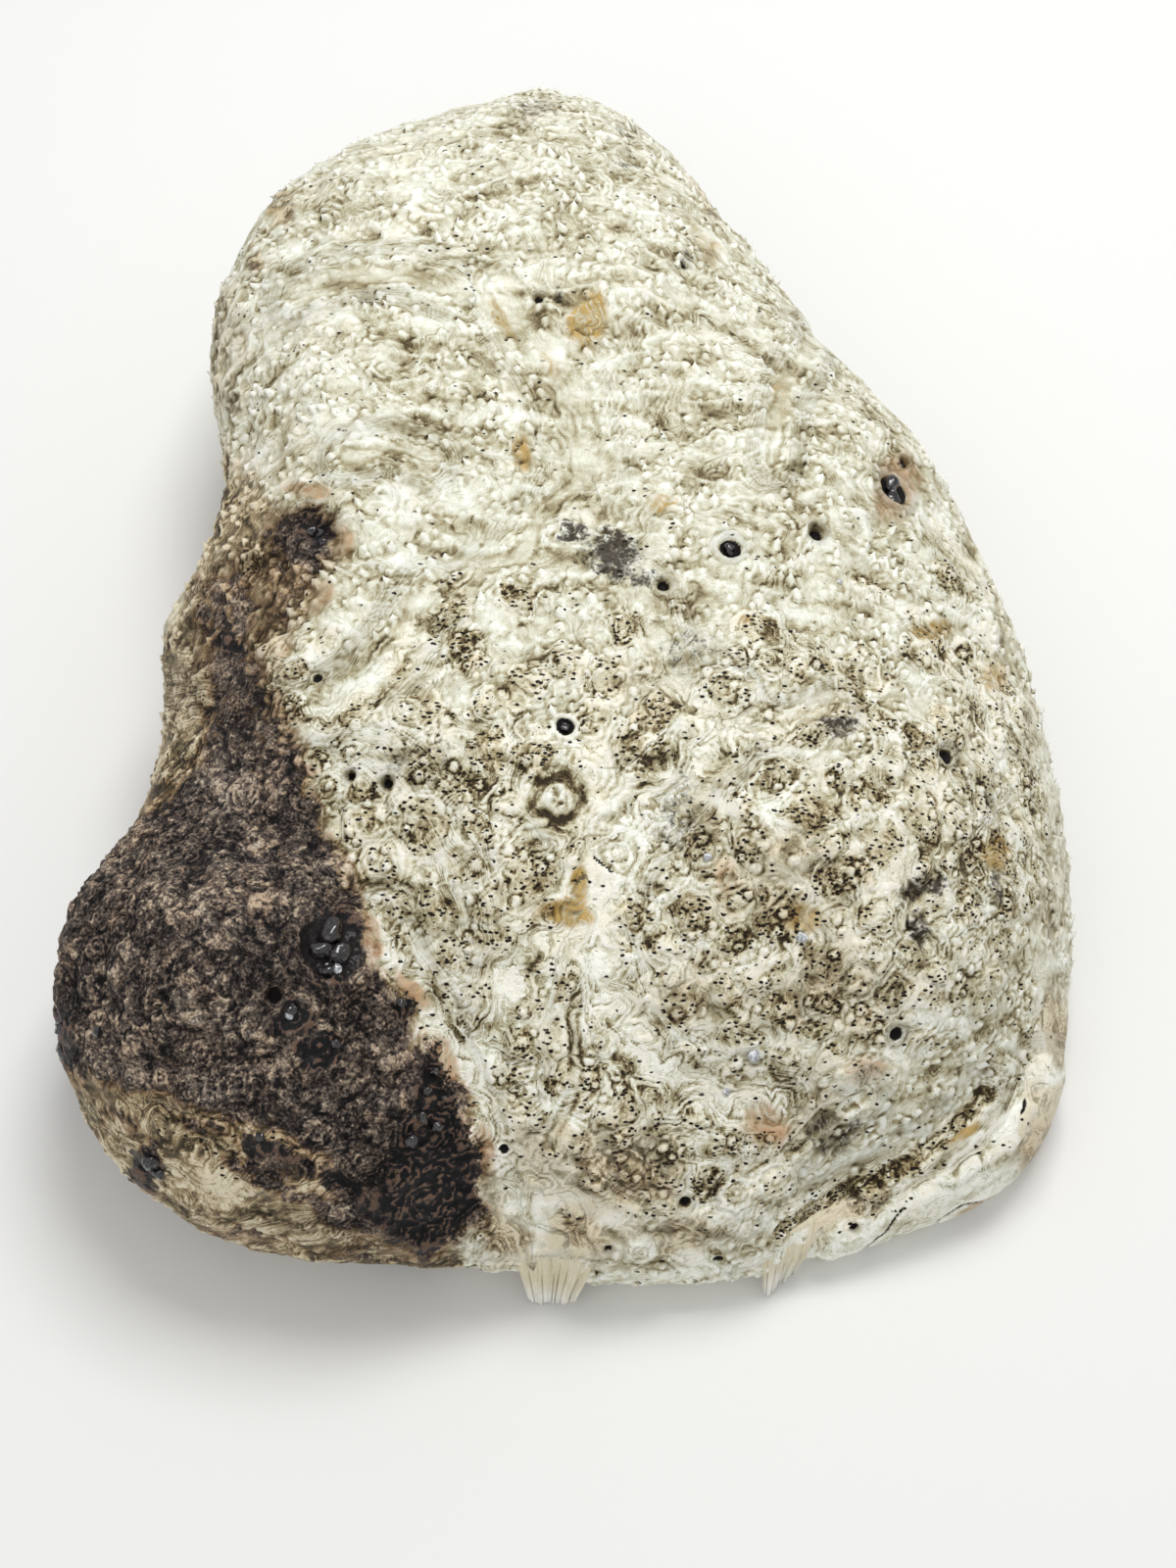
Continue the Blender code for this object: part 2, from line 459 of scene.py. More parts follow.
AMBER = patches(
    (600, 328, 22, 34, 20, 0.9), (512, 322, 10, 30, -30, 0.7), (562, 372, 9, 22, -25, 0.5),
    (535, 464, 12, 20, 0, 0.7), (674, 516, 15, 12, 0, 0.7), (576, 930, 34, 15, 12, 1),
    (590, 902, 12, 30, 0, 0.9), (948, 642, 24, 14, 0, 0.8), (822, 938, 26, 18, 0, 0.7),
    (1016, 872, 16, 24, 0, 0.7), (794, 400, 12, 42, 0, 0.4), (1012, 690, 20, 26, 0, 0.5),
    (983, 1159, 30, 6, -38, 1), (280, 204, 14, 18, 0, 0.6), (262, 590, 16, 30, 20, 0.6),
    (716, 245, 12, 30, -30, 0.5), (762, 632, 10, 7, 0, 0.5),
)
ROSE = patches(
    (778, 1152, 34, 24, 0, 0.9), (740, 892, 14, 20, 0, 0.8), (884, 1092, 34, 24, 0, 0.6),
    (1064, 1170, 24, 50, 20, 0.9), (1004, 1232, 36, 10, -20, 0.8), (916, 497, 30, 42, 15, 0.8),
    (345, 1000, 20, 30, 0, 0.4), (382, 962, 12, 44, -10, 0.8), (420, 1010, 12, 30, -40, 0.8),
    (458, 1085, 14, 34, -20, 0.8), (496, 1180, 12, 40, -5, 0.7), (318, 500, 26, 12, 0, 0.8),
    (350, 552, 10, 24, 0, 0.9), (322, 612, 16, 28, 30, 0.8), (290, 654, 14, 26, 30, 0.7),
    (258, 560, 18, 14, 0, 0.6), (700, 1270, 30, 10, 0, 0.3), (1064, 700, 12, 30, 0, 0.5),
)
ASH = patches(
    (624, 566, 34, 28, 15, 1), (586, 541, 14, 10, 0, 0.9), (858, 742, 24, 12, 0, 0.8),
    (938, 905, 28, 18, -10, 0.9), (936, 950, 12, 28, 0, 0.8), (1016, 905, 8, 24, 0, 0.7),
    (700, 660, 40, 26, 0, 0.35), (690, 830, 26, 50, 10, 0.4), (850, 1160, 34, 24, 0, 0.6),
    (420, 770, 60, 26, -10, 0.3), (660, 590, 12, 14, 0, 0.7), (380, 300, 26, 10, 0, 0.3),
    (640, 165, 20, 8, 0, 0.5), (545, 110, 34, 10, 0, 0.4), (700, 265, 12, 8, 0, 0.6),
    (640, 130, 30, 8, 0, 0.3), (565, 302, 8, 6, 0, 0.8),
)
STREAMS = (
    Stream(
        (
            (745, 735), (700, 785), (655, 832), (622, 880), (606, 925), (602, 965), (618, 1012),
            (645, 1055), (675, 1088), (705, 1110), (750, 1126), (795, 1130),
        ),
        27,
    ),
    Stream(((505, 290), (540, 340), (574, 388), (588, 430), (602, 478)), 20),
    Stream(((300, 300), (360, 280), (420, 276), (470, 300)), 12),
    Stream(((600, 478), (560, 520), (520, 570), (470, 600)), 10),
    Stream(((860, 250), (840, 330), (800, 400), (790, 470)), 10),
    Stream(((350, 465), (400, 455), (440, 470)), 9),
    Stream(((440, 610), (410, 655), (372, 700), (330, 722)), 20),
    Stream(
        (
            (384, 935), (404, 985), (440, 1032), (474, 1085), (498, 1150), (514, 1230), (528, 1296),
        ),
        17,
    ),
    Stream(((530, 1180), (590, 1228), (660, 1268), (720, 1290)), 16),
    Stream(((606, 925), (560, 948), (520, 995), (500, 1062)), 18),
    Stream(((602, 965), (585, 1040), (590, 1110), (560, 1170)), 8),
    Stream(((880, 1120), (840, 1140), (800, 1180), (760, 1210)), 8),
    Stream(((650, 600), (668, 640), (690, 700), (745, 735)), 17),
    Stream(((745, 735), (800, 742), (850, 720)), 8),
    Stream(((556, 1232), (566, 1262), (568, 1310)), 24),
    Stream(((862, 1228), (826, 1266), (806, 1310)), 17),
)
LIP = Outline(
    (
        (800, 1310), (850, 1262), (905, 1228), (960, 1176), (1010, 1132), (1050, 1085),
        (1064, 1010), (1110, 1000), (1110, 1150), (1060, 1215), (1000, 1250), (930, 1285),
        (880, 1310),
    ),
    7,
)
LENS = Outline(
    (
        (951, 1203), (965, 1188), (980, 1172), (998, 1157), (1020, 1138), (1045, 1120),
        (1054, 1128), (1048, 1150), (1030, 1172), (1008, 1190), (984, 1203), (962, 1208),
    ),
    4,
)
LIP_FLOW = Stream(
    (
        (862, 1282), (905, 1256), (945, 1234), (985, 1214), (1022, 1188), (1050, 1150),
        (1068, 1100),
    ),
    22,
)
CRACKS = (
    Stream(((876, 1276), (903, 1256), (910, 1246), (920, 1233)), 1.2),
    Stream(((939, 1259), (962, 1242), (983, 1229), (1004, 1226), (1021, 1226)), 0.9),
    Stream(((1044, 1122), (1043, 1130), (1040, 1136)), 1.4),
    Stream(((606, 874), (616, 882), (622, 886)), 1.4),
)
PIT_ROW = Stream(
    (
        (800, 1262), (830, 1238), (866, 1214), (896, 1204), (932, 1184), (962, 1162), (982, 1144),
        (1008, 1118),
    ),
    9,
)
PITTED = (
    PIT_ROW,
    Stream(((806, 1256), (840, 1232), (896, 1208)), 15),
    *patches(
        (740, 850, 70, 80, 0, 0.9), (800, 1000, 110, 90, 0, 0.8), (520, 720, 110, 80, 0, 0.8),
        (520, 860, 90, 70, 0, 0.7), (620, 680, 110, 60, 0, 0.5), (450, 900, 70, 90, 0, 0.6),
        (840, 640, 90, 70, 0, 0.35), (900, 900, 70, 60, 0, 0.6), (700, 1180, 80, 50, 0, 0.5),
        (560, 1060, 80, 70, 0, 0.4), (440, 1010, 34, 40, 0, 0.7), (470, 1100, 14, 50, 0, 0.8),
        (380, 700, 70, 60, 0, 0.3),
    ),
)
KNOTS = (
    Knot(KnotKind.PLUG, 915, 495, 17), Knot(KnotKind.HOLE, 926, 470, 5),
    Knot(KnotKind.PLUG, 748, 556, 11), Knot(KnotKind.HOLE, 837, 542, 7),
    Knot(KnotKind.PLUG, 578, 738, 9), Knot(KnotKind.KNOB, 572, 811, 24),
    Knot(KnotKind.HOLE, 320, 688, 5), Knot(KnotKind.HOLE, 356, 790, 4),
    Knot(KnotKind.HOLE, 393, 796, 5), Knot(KnotKind.HOLE, 702, 268, 5),
    Knot(KnotKind.HOLE, 971, 768, 8), Knot(KnotKind.HOLE, 918, 1060, 7),
    Knot(KnotKind.HOLE, 1013, 818, 6), Knot(KnotKind.HOLE, 676, 592, 6),
    Knot(KnotKind.WHORL, 630, 868, 24), Knot(KnotKind.WHORL, 740, 702, 20),
    Knot(KnotKind.WHORL, 437, 1212, 34), Knot(KnotKind.PLUG, 341, 962, 30),
    Knot(KnotKind.WHORL, 328, 1070, 22), Knot(KnotKind.WHORL, 768, 1284, 15),
    Knot(KnotKind.WHORL, 656, 1284, 12), Knot(KnotKind.WHORL, 752, 1222, 15),
    Knot(KnotKind.HOLE, 702, 1230, 5), Knot(KnotKind.HOLE, 622, 1280, 4),
    Knot(KnotKind.HOLE, 736, 1292, 5), Knot(KnotKind.HOLE, 512, 1178, 5),
    Knot(KnotKind.WHORL, 796, 1206, 19), Knot(KnotKind.HOLE, 548, 300, 5),
    Knot(KnotKind.WHORL, 300, 1040, 16), Knot(KnotKind.HOLE, 283, 1018, 7),
    Knot(KnotKind.WHORL, 545, 112, 20), Knot(KnotKind.WHORL, 870, 1258, 12),
    Knot(KnotKind.WHORL, 200, 1072, 14), Knot(KnotKind.WHORL, 400, 1045, 12),
    Knot(KnotKind.HOLE, 874, 1258, 5),
)


# The bare form and its skin


def sides_of(faces: np.ndarray) -> np.ndarray:
    """Each side of each face, as a pair of points in the face's own order."""
    count = faces.shape[1]
    return np.concatenate([faces[:, [k, (k + 1) % count]] for k in range(count)])


@dataclass
class Surface:
    """A surface of quads, with its points' normals."""

    points: np.ndarray
    quads: np.ndarray

    def normals(self) -> np.ndarray:
        """Unit normals of the points, each the mean of the faces round it.

        Returns:
            One normal a point.
        """
        corner = self.points[self.quads]
        face = np.cross(corner[:, 2] - corner[:, 0], corner[:, 3] - corner[:, 1])
        total = np.zeros_like(self.points)
        for column in range(4):
            for axis in range(3):
                total[:, axis] += np.bincount(
                    self.quads[:, column], face[:, axis], minlength=len(self.points)
                )
        return total / (np.linalg.norm(total, axis=1)[:, None] + 1e-12)


@dataclass
class BareForm:
    """The burl without its buds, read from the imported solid."""

    rough_passes: int = 10
    inward: float = 0.55
    outward: float = -0.56
    grid: float = 3.35 * MM
    squeeze: float = 0.62
    smooth_passes: int = 10
    smooth_share: float = 0.6
    halvings: int = 2

    def build(self) -> Surface:
        """Reads, smooths and refines the solid's grown side.

        Returns:
            A fine open surface whose rim lies on the sawn plane.
        """
        points, faces = self.merged(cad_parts[NODE].data)
        edges = self.edges_of(faces)
        sawn = points[:, 2] < 0.01 * MM
        for step in range(2 * self.rough_passes):
            share = self.inward if step % 2 == 0 else self.outward
            points = self.eased(points, edges, share, sawn)
        flatter = points * (1, 1, self.squeeze)
        even = self.modified(flatter, faces, "REMESH", mode="VOXEL", voxel_size=self.grid)
        skin = self.without_sawn_face(even)
        skin.points[:, 2] /= self.squeeze
        rim = self.rim_of(skin.quads, len(skin.points))
        skin.points[rim, 2] = 0
        edges = self.edges_of(skin.quads)
        for _ in range(self.smooth_passes):
            skin.points = self.eased(skin.points, edges, self.smooth_share, rim)
        return self.modified(
            skin.points, skin.quads, "SUBSURF", levels=self.halvings, render_levels=self.halvings
        )

    @staticmethod
    def merged(mesh: bpy.types.Mesh) -> tuple[np.ndarray, np.ndarray]:
        """The mesh's points, each place once, and its triangles.

        Args:
            mesh: The mesh to read.

        Returns:
            The points, and the triangles by their points' numbers.
        """
        mesh.calc_loop_triangles()
        points = np.empty(len(mesh.vertices) * 3)
        mesh.vertices.foreach_get("co", points)
        faces = np.empty(len(mesh.loop_triangles) * 3, np.int32)
        mesh.loop_triangles.foreach_get("vertices", faces)
        places, where = np.unique(np.round(points.reshape(-1, 3), 6), axis=0, return_inverse=True)
        return places, where.ravel()[faces].reshape(-1, 3)

    @staticmethod
    def edges_of(faces: np.ndarray) -> np.ndarray:
        """Each edge of the faces once, as a pair of points."""
        return np.unique(np.sort(sides_of(faces), axis=1), axis=0)

    @staticmethod
    def eased(
        points: np.ndarray, edges: np.ndarray, share: float, fixed: np.ndarray
    ) -> np.ndarray:
        """Moves each point towards the middle of its neighbours.

        Args:
            points: Points, one a row.
            edges: Pairs of neighbours.
            share: How far to move, and away from the middle where it is below zero.
            fixed: Which points stay where they are.

        Returns:
            The moved points.
        """
        ends = np.concatenate([edges, edges[:, ::-1]])
        count = np.bincount(ends[:, 0], minlength=len(points))
        total = [np.bincount(ends[:, 0], points[ends[:, 1], axis], minlength=len(points))
                 for axis in range(3)]
        middle = np.stack(total, axis=1) / np.maximum(count, 1)[:, None]
        moved = points + share * (middle - points)
        moved[fixed] = points[fixed]
        return moved

    @staticmethod
    def modified(points: np.ndarray, faces: np.ndarray, kind: str, **settings: Any) -> Surface:
        """Runs one mesh modifier over a surface.

        Args:
            points: The surface's points.
            faces: Its faces.
            kind: The modifier's type.
            **settings: The modifier's settings.

        Returns:
            The surface of quads that it makes.
        """
        mesh = mesh_of("working", points, faces)
        thing = bpy.data.objects.new("working", mesh)
        bpy.context.scene.collection.objects.link(thing)
        modifier = thing.modifiers.new("working", kind)
        for name, value in settings.items():
            setattr(modifier, name, value)
        shown = thing.evaluated_get(bpy.context.evaluated_depsgraph_get()).to_mesh()
        places = np.empty(len(shown.vertices) * 3)
        shown.vertices.foreach_get("co", places)
        corners = np.empty(len(shown.loops), np.int32)
        shown.loops.foreach_get("vertex_index", corners)
        bpy.data.objects.remove(thing)
        bpy.data.meshes.remove(mesh)
        return Surface(places.reshape(-1, 3), corners.reshape(-1, 4))

    def without_sawn_face(self, whole: Surface) -> Surface:
        """Leaves out the flat sawn face and the points that only it uses.

        Args:
            whole: The whole solid's surface.

        Returns:
            The grown side alone.
        """
        corner = whole.points[whole.quads]
        normal = np.cross(corner[:, 2] - corner[:, 0], corner[:, 3] - corner[:, 1])
        normal /= np.linalg.norm(normal, axis=1)[:, None] + 1e-12
        sawn = (corner[:, :, 2].max(axis=1) < 0.6 * self.grid) & (normal[:, 2] < -0.8)
        quads = whole.quads[~sawn]
        used, where = np.unique(quads, return_inverse=True)
        return Surface(whole.points[used], where.reshape(-1, 4))

    @staticmethod
    def rim_of(quads: np.ndarray, count: int) -> np.ndarray:
        """Which points lie on an edge with only one face.

        Args:
            quads: The surface's faces.
            count: How many points it has.

        Returns:
            True for each point on the rim.
        """
        pairs, uses = np.unique(np.sort(sides_of(quads), axis=1), axis=0, return_counts=True)
        rim = np.zeros(count, bool)
        rim[pairs[uses == 1]] = True
        return rim


def mesh_of(name: str, points: np.ndarray, faces: np.ndarray) -> bpy.types.Mesh:
    """Makes a mesh whose faces all have the same number of corners.

    Args:
        name: The mesh's name.
        points: Its points, one a row.
        faces: Its faces, one a row.

    Returns:
        The mesh, shaded smooth.
    """
    mesh = bpy.data.meshes.new(name)
    mesh.vertices.add(len(points))
    mesh.vertices.foreach_set("co", np.asarray(points, np.float32).ravel())
    mesh.loops.add(faces.size)
    mesh.loops.foreach_set("vertex_index", np.asarray(faces, np.int32).ravel())
    mesh.polygons.add(len(faces))
    starts = np.arange(0, faces.size, faces.shape[1], dtype=np.int32)
    mesh.polygons.foreach_set("loop_start", starts)
    mesh.polygons.foreach_set("use_smooth", np.ones(len(faces), bool))
    mesh.update(calc_edges=True)
    return mesh


@dataclass(frozen=True)
class OwnCell:
    """Each point's own cell, and where in it the point lies."""

    index: np.ndarray
    middle: np.ndarray
    size: np.ndarray
    away: np.ndarray
    out: np.ndarray


@dataclass
class CellField:
    """Cells packed side by side over a surface, each with a size of its own."""

    seed: int
    candidates: int
    unevenness: float = 0.28
    centres: np.ndarray = field(init=False)
    size: np.ndarray = field(init=False)

    def plant(self, points: np.ndarray, gap: np.ndarray) -> None:
        """Chooses the cells' middles, none nearer to another than its own size.

        Args:
            points: The surface's points.
            gap: The mean size of the cells at each point.
        """
        draw = np.random.default_rng(self.seed)
        picks = draw.choice(len(points), self.candidates, replace=False)
        reach = gap[picks] * draw.uniform(1 - self.unevenness, 1 + self.unevenness, len(picks))
        tree = self.tree(points[picks])
        blocked = np.zeros(len(picks), bool)
        chosen = []
        for index, pick in enumerate(picks):
            if not blocked[index]:
                chosen.append(index)
                near = tree.find_range(points[pick], reach[index])
                blocked[[other for _, other, _ in near]] = True
        self.centres = points[picks[chosen]]
        self.size = reach[chosen]

    @staticmethod
    def tree(points: np.ndarray) -> KDTree:
        """A search tree over points.

        Args:
            points: Points, one a row.

        Returns:
            The tree, ready to search.
        """
        tree = KDTree(len(points))
        for index, point in enumerate(points):
            tree.insert(point, index)
        tree.balance()
        return tree

    def nearest(self, points: np.ndarray) -> OwnCell:
        """Finds each point's own cell.

        Args:
            points: The surface's points.

        Returns:
            Each point's cell, with how far the point is from its middle in cell sizes, and how far
            out it is towards the next cell, 0 at the middle and 1 at the border.
        """
        tree = self.tree(self.centres)
        found = np.array(
            [[value for _, index, gap in tree.find_n(point, 3) for value in (index, gap)]
             for point in points]
        ).reshape(-1, 3, 2)
        cells = found[:, :, 0].astype(int)
        away = found[:, :, 1] / self.size[cells]
        order = np.argsort(away, axis=1)
        away = np.take_along_axis(away, order, axis=1)
        own = np.take_along_axis(cells, order, axis=1)[:, 0]
        out = 2 * away[:, 0] / (away[:, 0] + away[:, 1] + 1e-9)
        return OwnCell(own, self.centres[own], self.size[own], away[:, 0], out)


@dataclass
class Skin:
    """The grown skin: bare form, buds, grain, eyes, knots and stains."""

    view: PhotoView
    bud_gap: float = 3.5 * MM
    eye_gap: float = 11.5 * MM
    spike_height: float = 1.8 * MM
    boss_height: float = 1.5 * MM
    knob_height: float = 1.1 * MM
    ring_height: float = 0.18 * MM
    ring_gap: float = 2.6 * MM
    lens_height: float = 1.3 * MM
    lip_height: float = 1.6 * MM
    crack_depth: float = 1.2 * MM
    fold_depth: float = 1.1 * MM
    sink: float = 0.8 * MM
    foot: float = 6 * MM
    lean: float = 0.95
    crest_size: float = 0.14 * MM
    crest_passes: int = 3
    cavity_size: float = 0.7 * MM
    cavity_passes: int = 26
    lobe_middle: tuple[float, float] = (215, 985)
    seed: int = 3
    channels: dict[Channel, np.ndarray] = field(default_factory=dict)

    def grow(self) -> None:
        """Builds the surface, then raises everything on it."""
        bare = BareForm().build()
        log.info("bare form: %d points, %d quads", len(bare.points), len(bare.quads))
        self.bare = bare.points
        self.quads = bare.quads
        self.normal = bare.normals()
        self.pixels = self.view.pixels(self.bare)
        self.noise = Noise(self.seed)
        self.mark_areas()
        self.plant_cells()
        self.choose_kinds()
        self.shape_buds()
        self.lay_grain()
        self.raise_relief()
        self.shade_buds()
        self.carve_knots()
        self.store_stains()

    def ragged(self, size: float, pixels: float) -> np.ndarray:
        """The points' pixels, moved about by noise, which frays the edge of an area."""
        shift = [self.noise(self.bare + offset, size, 3) for offset in (0, 7.3)]
        return self.pixels + pixels * np.column_stack(shift)

    def swayed(self, size: float, length: float) -> np.ndarray:
        """The bare points, moved about by noise."""
        shift = [self.noise(self.bare + offset, size, 2) for offset in (0, 3.1, 9.7)]
        return self.bare + length * np.column_stack(shift)

    @staticmethod
    def most(areas: Iterable[Any], pixels: np.ndarray) -> np.ndarray:
        """The most that any of the areas covers at each pixel."""
        return np.clip(np.max([area.cover(pixels) for area in areas], axis=0), 0, 1)

    def mark_areas(self) -> None:
        """Works out where bark, smooth streams and spikes lie."""
        frayed = self.ragged(8 * MM, 12)
        swayed = self.ragged(16 * MM, 8)
        self.bark = self.most(BARK, frayed)
        self.streams = self.most(STREAMS, swayed)
        self.lip = LIP.cover(swayed)
        self.tan, self.neck = TAN_UNDERSIDE.cover(frayed), NECK.cover(frayed)
        wild = np.abs(self.noise(self.bare, 38 * MM, 2))
        veins = (1 - ease(wild, 0.02, 0.11)) * 0.8
        smooth = np.maximum(np.maximum(self.streams, 0.95 * self.lip), veins)
        self.calm = smooth * (1 - self.bark)
        self.fold = PIT_ROW.cover(self.pixels)
        self.upper = 1 - ease(self.pixels[:, 1] + 70 * self.noise(self.bare, 40 * MM), 540, 800)
        self.steep = ease(-self.normal[:, 2], -0.72, -0.5)

    def plant_cells(self) -> None:
        """Packs eyes and buds side by side over the skin, and draws what each is like."""
        draw = np.random.default_rng(self.seed)
        eyes, buds = CellField(8, 30_000), CellField(5, 120_000)
        eyes.plant(self.bare, self.eye_gap * (1 - 0.2 * self.upper))
        buds.plant(self.bare, self.bud_gap * (1 + 0.1 * self.bark))
        log.info("eyes: %d, buds: %d", len(eyes.size), len(buds.size))
        self.eye = eyes.nearest(self.swayed(9 * MM, 2.6 * MM))
        self.bud = buds.nearest(self.swayed(3.6 * MM, 0.7 * MM))
        self.eye_draw = draw.random((8, len(eyes.size)))[:, self.eye.index]
        self.bud_draw = draw.random((4, len(buds.size)))[:, self.bud.index]
        self.stray = draw.normal(0, 0.35, (len(buds.size), 3))[self.bud.index]

    def choose_kinds(self) -> None:
        """Works out which eyes are spiky or flat, and where the skin between them is calm."""
        spiky = (self.eye_draw[0] < self.upper) * 1.0
        self.spiky = np.maximum(spiky, np.maximum(self.steep, self.bark))
        self.flat = 1 - self.spiky
        between = ease(self.eye.out, 0.72, 0.98) * (1 - self.bark) * (self.eye_draw[1] > 0.2)
        white = np.maximum(self.streams, 0.9 * self.lip) * (1 - 1.4 * self.upper)
        self.channels[Channel.STREAM] = white + (1 - self.streams) * 0.85 * between * self.flat
        self.channels[Channel.EYED] = self.flat
        self.calm = np.maximum(self.calm, between * (0.75 * self.flat + 0.35 * self.spiky))
        self.lively = (1 - 0.88 * self.calm) * (1 - 0.55 * self.tan) * (1 - 0.6 * self.neck)

    def shape_buds(self) -> None:
        """Works out how far each point stands up on its bud, as a knob and as a spike."""
        away = self.bud.away
        self.knobby = (self.bud_draw[0] > 0.78) * 1.0
        uneven = np.clip(0.85 + 0.6 * self.noise(self.bare, 26 * MM, 2), 0.25, 1.3)
        self.tall = (0.3 + 0.95 * self.bud_draw[1]) * uneven
        self.knob = (1 - ease(away, 0.1, 0.55)) - 0.5 * np.exp(-(((away - 0.6) / 0.12) ** 2))
        self.lean_of = self.lean_direction(self.stray)
        offset = self.bare - self.bud.middle
        self.ahead, self.aside = self.split(offset, self.lean_of, self.bud.size)
        ahead = self.ahead / np.where(self.ahead < 0, 1.25, 0.42)
        drop = np.hypot(self.aside / 0.52, ahead)
        spike = np.clip(1 - drop, 0, 1) ** 1.2 * self.tall
        spike *= self.bud_draw[2] > 0.38 * (1 - self.bark)
        tufts = ease(self.noise(self.bare + 0.7, 14 * MM, 2), -0.5, 0.2)
        self.spike = spike * (1 - 0.7 * (1 - tufts) * (1 - self.bark) * (1 - 0.5 * self.steep))
        self.hook = self.spiky * self.lively * self.spike**1.2 * (1 - 0.6 * self.bark)

    def lay_grain(self) -> None:
        """Lays the fibres along the skin, swirling round its eyes and buds."""
        swirl = 1.1 * (1 - self.eye.out) * self.eye.size * (1 - 0.6 * self.upper)
        swirl += (1 - np.clip(self.bud.out, 0, 1)) ** 2 * self.bud.size * 0.8 * self.lively
        self.channels[Channel.GRAIN] = self.long_grain() + swirl / MM

    def ridges(self) -> np.ndarray:
        """The fine ridges that run with the fibres.

        Returns:
            One value a point, from -1 to 1.
        """
        turns = self.channels[Channel.GRAIN] * 2 * np.pi / 4.4
        wave = np.sin(turns + 2.0 * self.noise(self.bare, 5 * MM))
        return wave * (ease(self.noise(self.bare, 15 * MM, 2), -0.3, 0.7) * (1 - 0.9 * self.lip))

    def raise_relief(self) -> None:
        """Adds up how far everything stands out of the bare form or sinks into it."""
        flat, spiky, bark, lively = self.flat, self.spiky, self.bark, self.lively
        smooth = 1 - np.maximum(0.9 * self.lip, 0.75 * self.streams)
        boss = (1 - self.eye.out**2) * (0.3 + 0.9 * self.eye_draw[2]) * smooth
        rings = np.cos(2 * np.pi * self.eye.away * self.eye.size / self.ring_gap)
        rings *= self.eye_draw[3] > 0.5
        rings *= ease(self.eye.out, 0.2, 0.4) * smooth
        height = flat * (self.boss_height * boss + self.ring_height * rings)
        height += self.ridges() * MM * (0.2 + 0.1 * flat + 0.05 * bark + 0.1 * self.tan)
        height += bark * MM * (1.2 * boss + 0.3 * rings)
        height += flat * lively * self.knob_height * self.knob * self.knobby * self.tall
        height += spiky * lively * self.spike_height * self.spike * (1 - 0.55 * bark)
        height += spiky * self.boss_height * 0.45 * boss
        height += self.noise(self.bare, 7 * MM, 2) * (0.6 - 0.3 * self.upper) * MM * lively
        folds = 1 - 2 * np.abs(self.noise(self.bare * (0.6, 1, 1), 15 * MM, 2))
        height += folds * MM * (1.1 * self.upper + 0.6 * flat) * (1 - bark) * smooth
        height += self.noise(self.bare, 24 * MM, 2) * (0.7 + smooth) * MM
        height += bark * self.noise(self.bare, 14 * MM, 3) * 2.0 * MM
        sunk = (1.2 - 0.9 * self.upper) * MM * self.most(STREAMS, self.pixels)
        height -= sunk + self.fold_depth * self.fold
        lens = self.lens_height * LENS.cover(self.ragged(9 * MM, 4))
        height += lens + self.lip_height * LIP_FLOW.cover(self.pixels)
        height -= self.crack_depth * self.most(CRACKS, self.pixels)
        self.height = height

    def shade_buds(self) -> None:
        """Works out the painted shade beside buds and streams, the pitted places and the painted
        highlight on the buds' tips.
        """
        # Painted shade in the groove round each knob-like bud.
        ring = np.exp(-(((self.bud.away - 0.64) / 0.12) ** 2)) * self.knobby * self.flat
        # Painted shadow just past each spike's leaning tip, where the overhang hides the wood.
        shadow_behind_tip = np.exp(-(((self.ahead - 0.5) / 0.2) ** 2) - (self.aside / 0.36) ** 2) * self.tall
        shadow_behind_tip *= self.bud_draw[2] > 0.38
        lee = self.lively * np.maximum(0.5 * ring, shadow_behind_tip * (0.35 + 0.65 * self.spiky))
        # Painted shade along the sloping banks of the sunk streams.
        bank_shade = 4 * self.streams * (1 - self.streams) * (1 - self.bark) * (1 - 0.5 * self.upper)
        bank_shade *= ease(self.noise(self.bare + 2.2, 12 * MM, 2), -0.6, 0.4)
        self.channels[Channel.PAINTED_SHADE] = np.maximum(lee, 0.55 * bank_shade)
        cluster = ease(self.noise(self.bare, 16 * MM, 2), -0.8, 0.0)
        pits = np.maximum(1.2 * self.most(PITTED, self.pixels), 0.95 * cluster)
        pits *= 1 - ease(self.eye.out, 0.72, 0.95)
        pits = pits * (0.4 + 0.75 * self.eye_draw[4]) * (1 - self.bark) * (1 - 0.9 * self.calm)
        pits *= 0.08 + 0.92 * self.flat
        self.pits = np.maximum(pits, 0.75 * self.fold)
        # Painted highlight on spike tips and knob tops.
        top = self.flat * self.lively * self.knobby * (1 - ease(self.bud.away, 0.2, 0.5))
        self.channels[Channel.SPIKE] = np.maximum(self.hook, 0.5 * top)

    @staticmethod
    def split(
        away: np.ndarray, ahead: np.ndarray, size: np.ndarray
    ) -> tuple[np.ndarray, np.ndarray]:
        """Splits offsets into a part along a direction and the rest.

        Args:
            away: Offsets, one a row.
            ahead: Unit directions, one a row.
            size: What to measure the offsets in, one a row.

        Returns:
            How far each offset goes ahead, and how far aside.
        """
        forward = np.einsum("ij,ij->i", away, ahead)
        aside = np.linalg.norm(away - forward[:, None] * ahead, axis=1)
        return forward / size, aside / size

    def lean_direction(self, stray: np.ndarray) -> np.ndarray:
        """Which way the spikes lean, along the surface.

        Args:
            stray: What each point's lean strays by, one a row.

        Returns:
            Unit directions, one a point.
        """
        lean = np.column_stack([self.bare[:, 0] * 5, np.full(len(self.bare), 0.9), 0 * self.upper])
        lean[:, 0] -= 0.45
        lean += stray
        lean -= self.normal * np.einsum("ij,ij->i", lean, self.normal)[:, None]
        return lean / (np.linalg.norm(lean, axis=1)[:, None] + 1e-9)

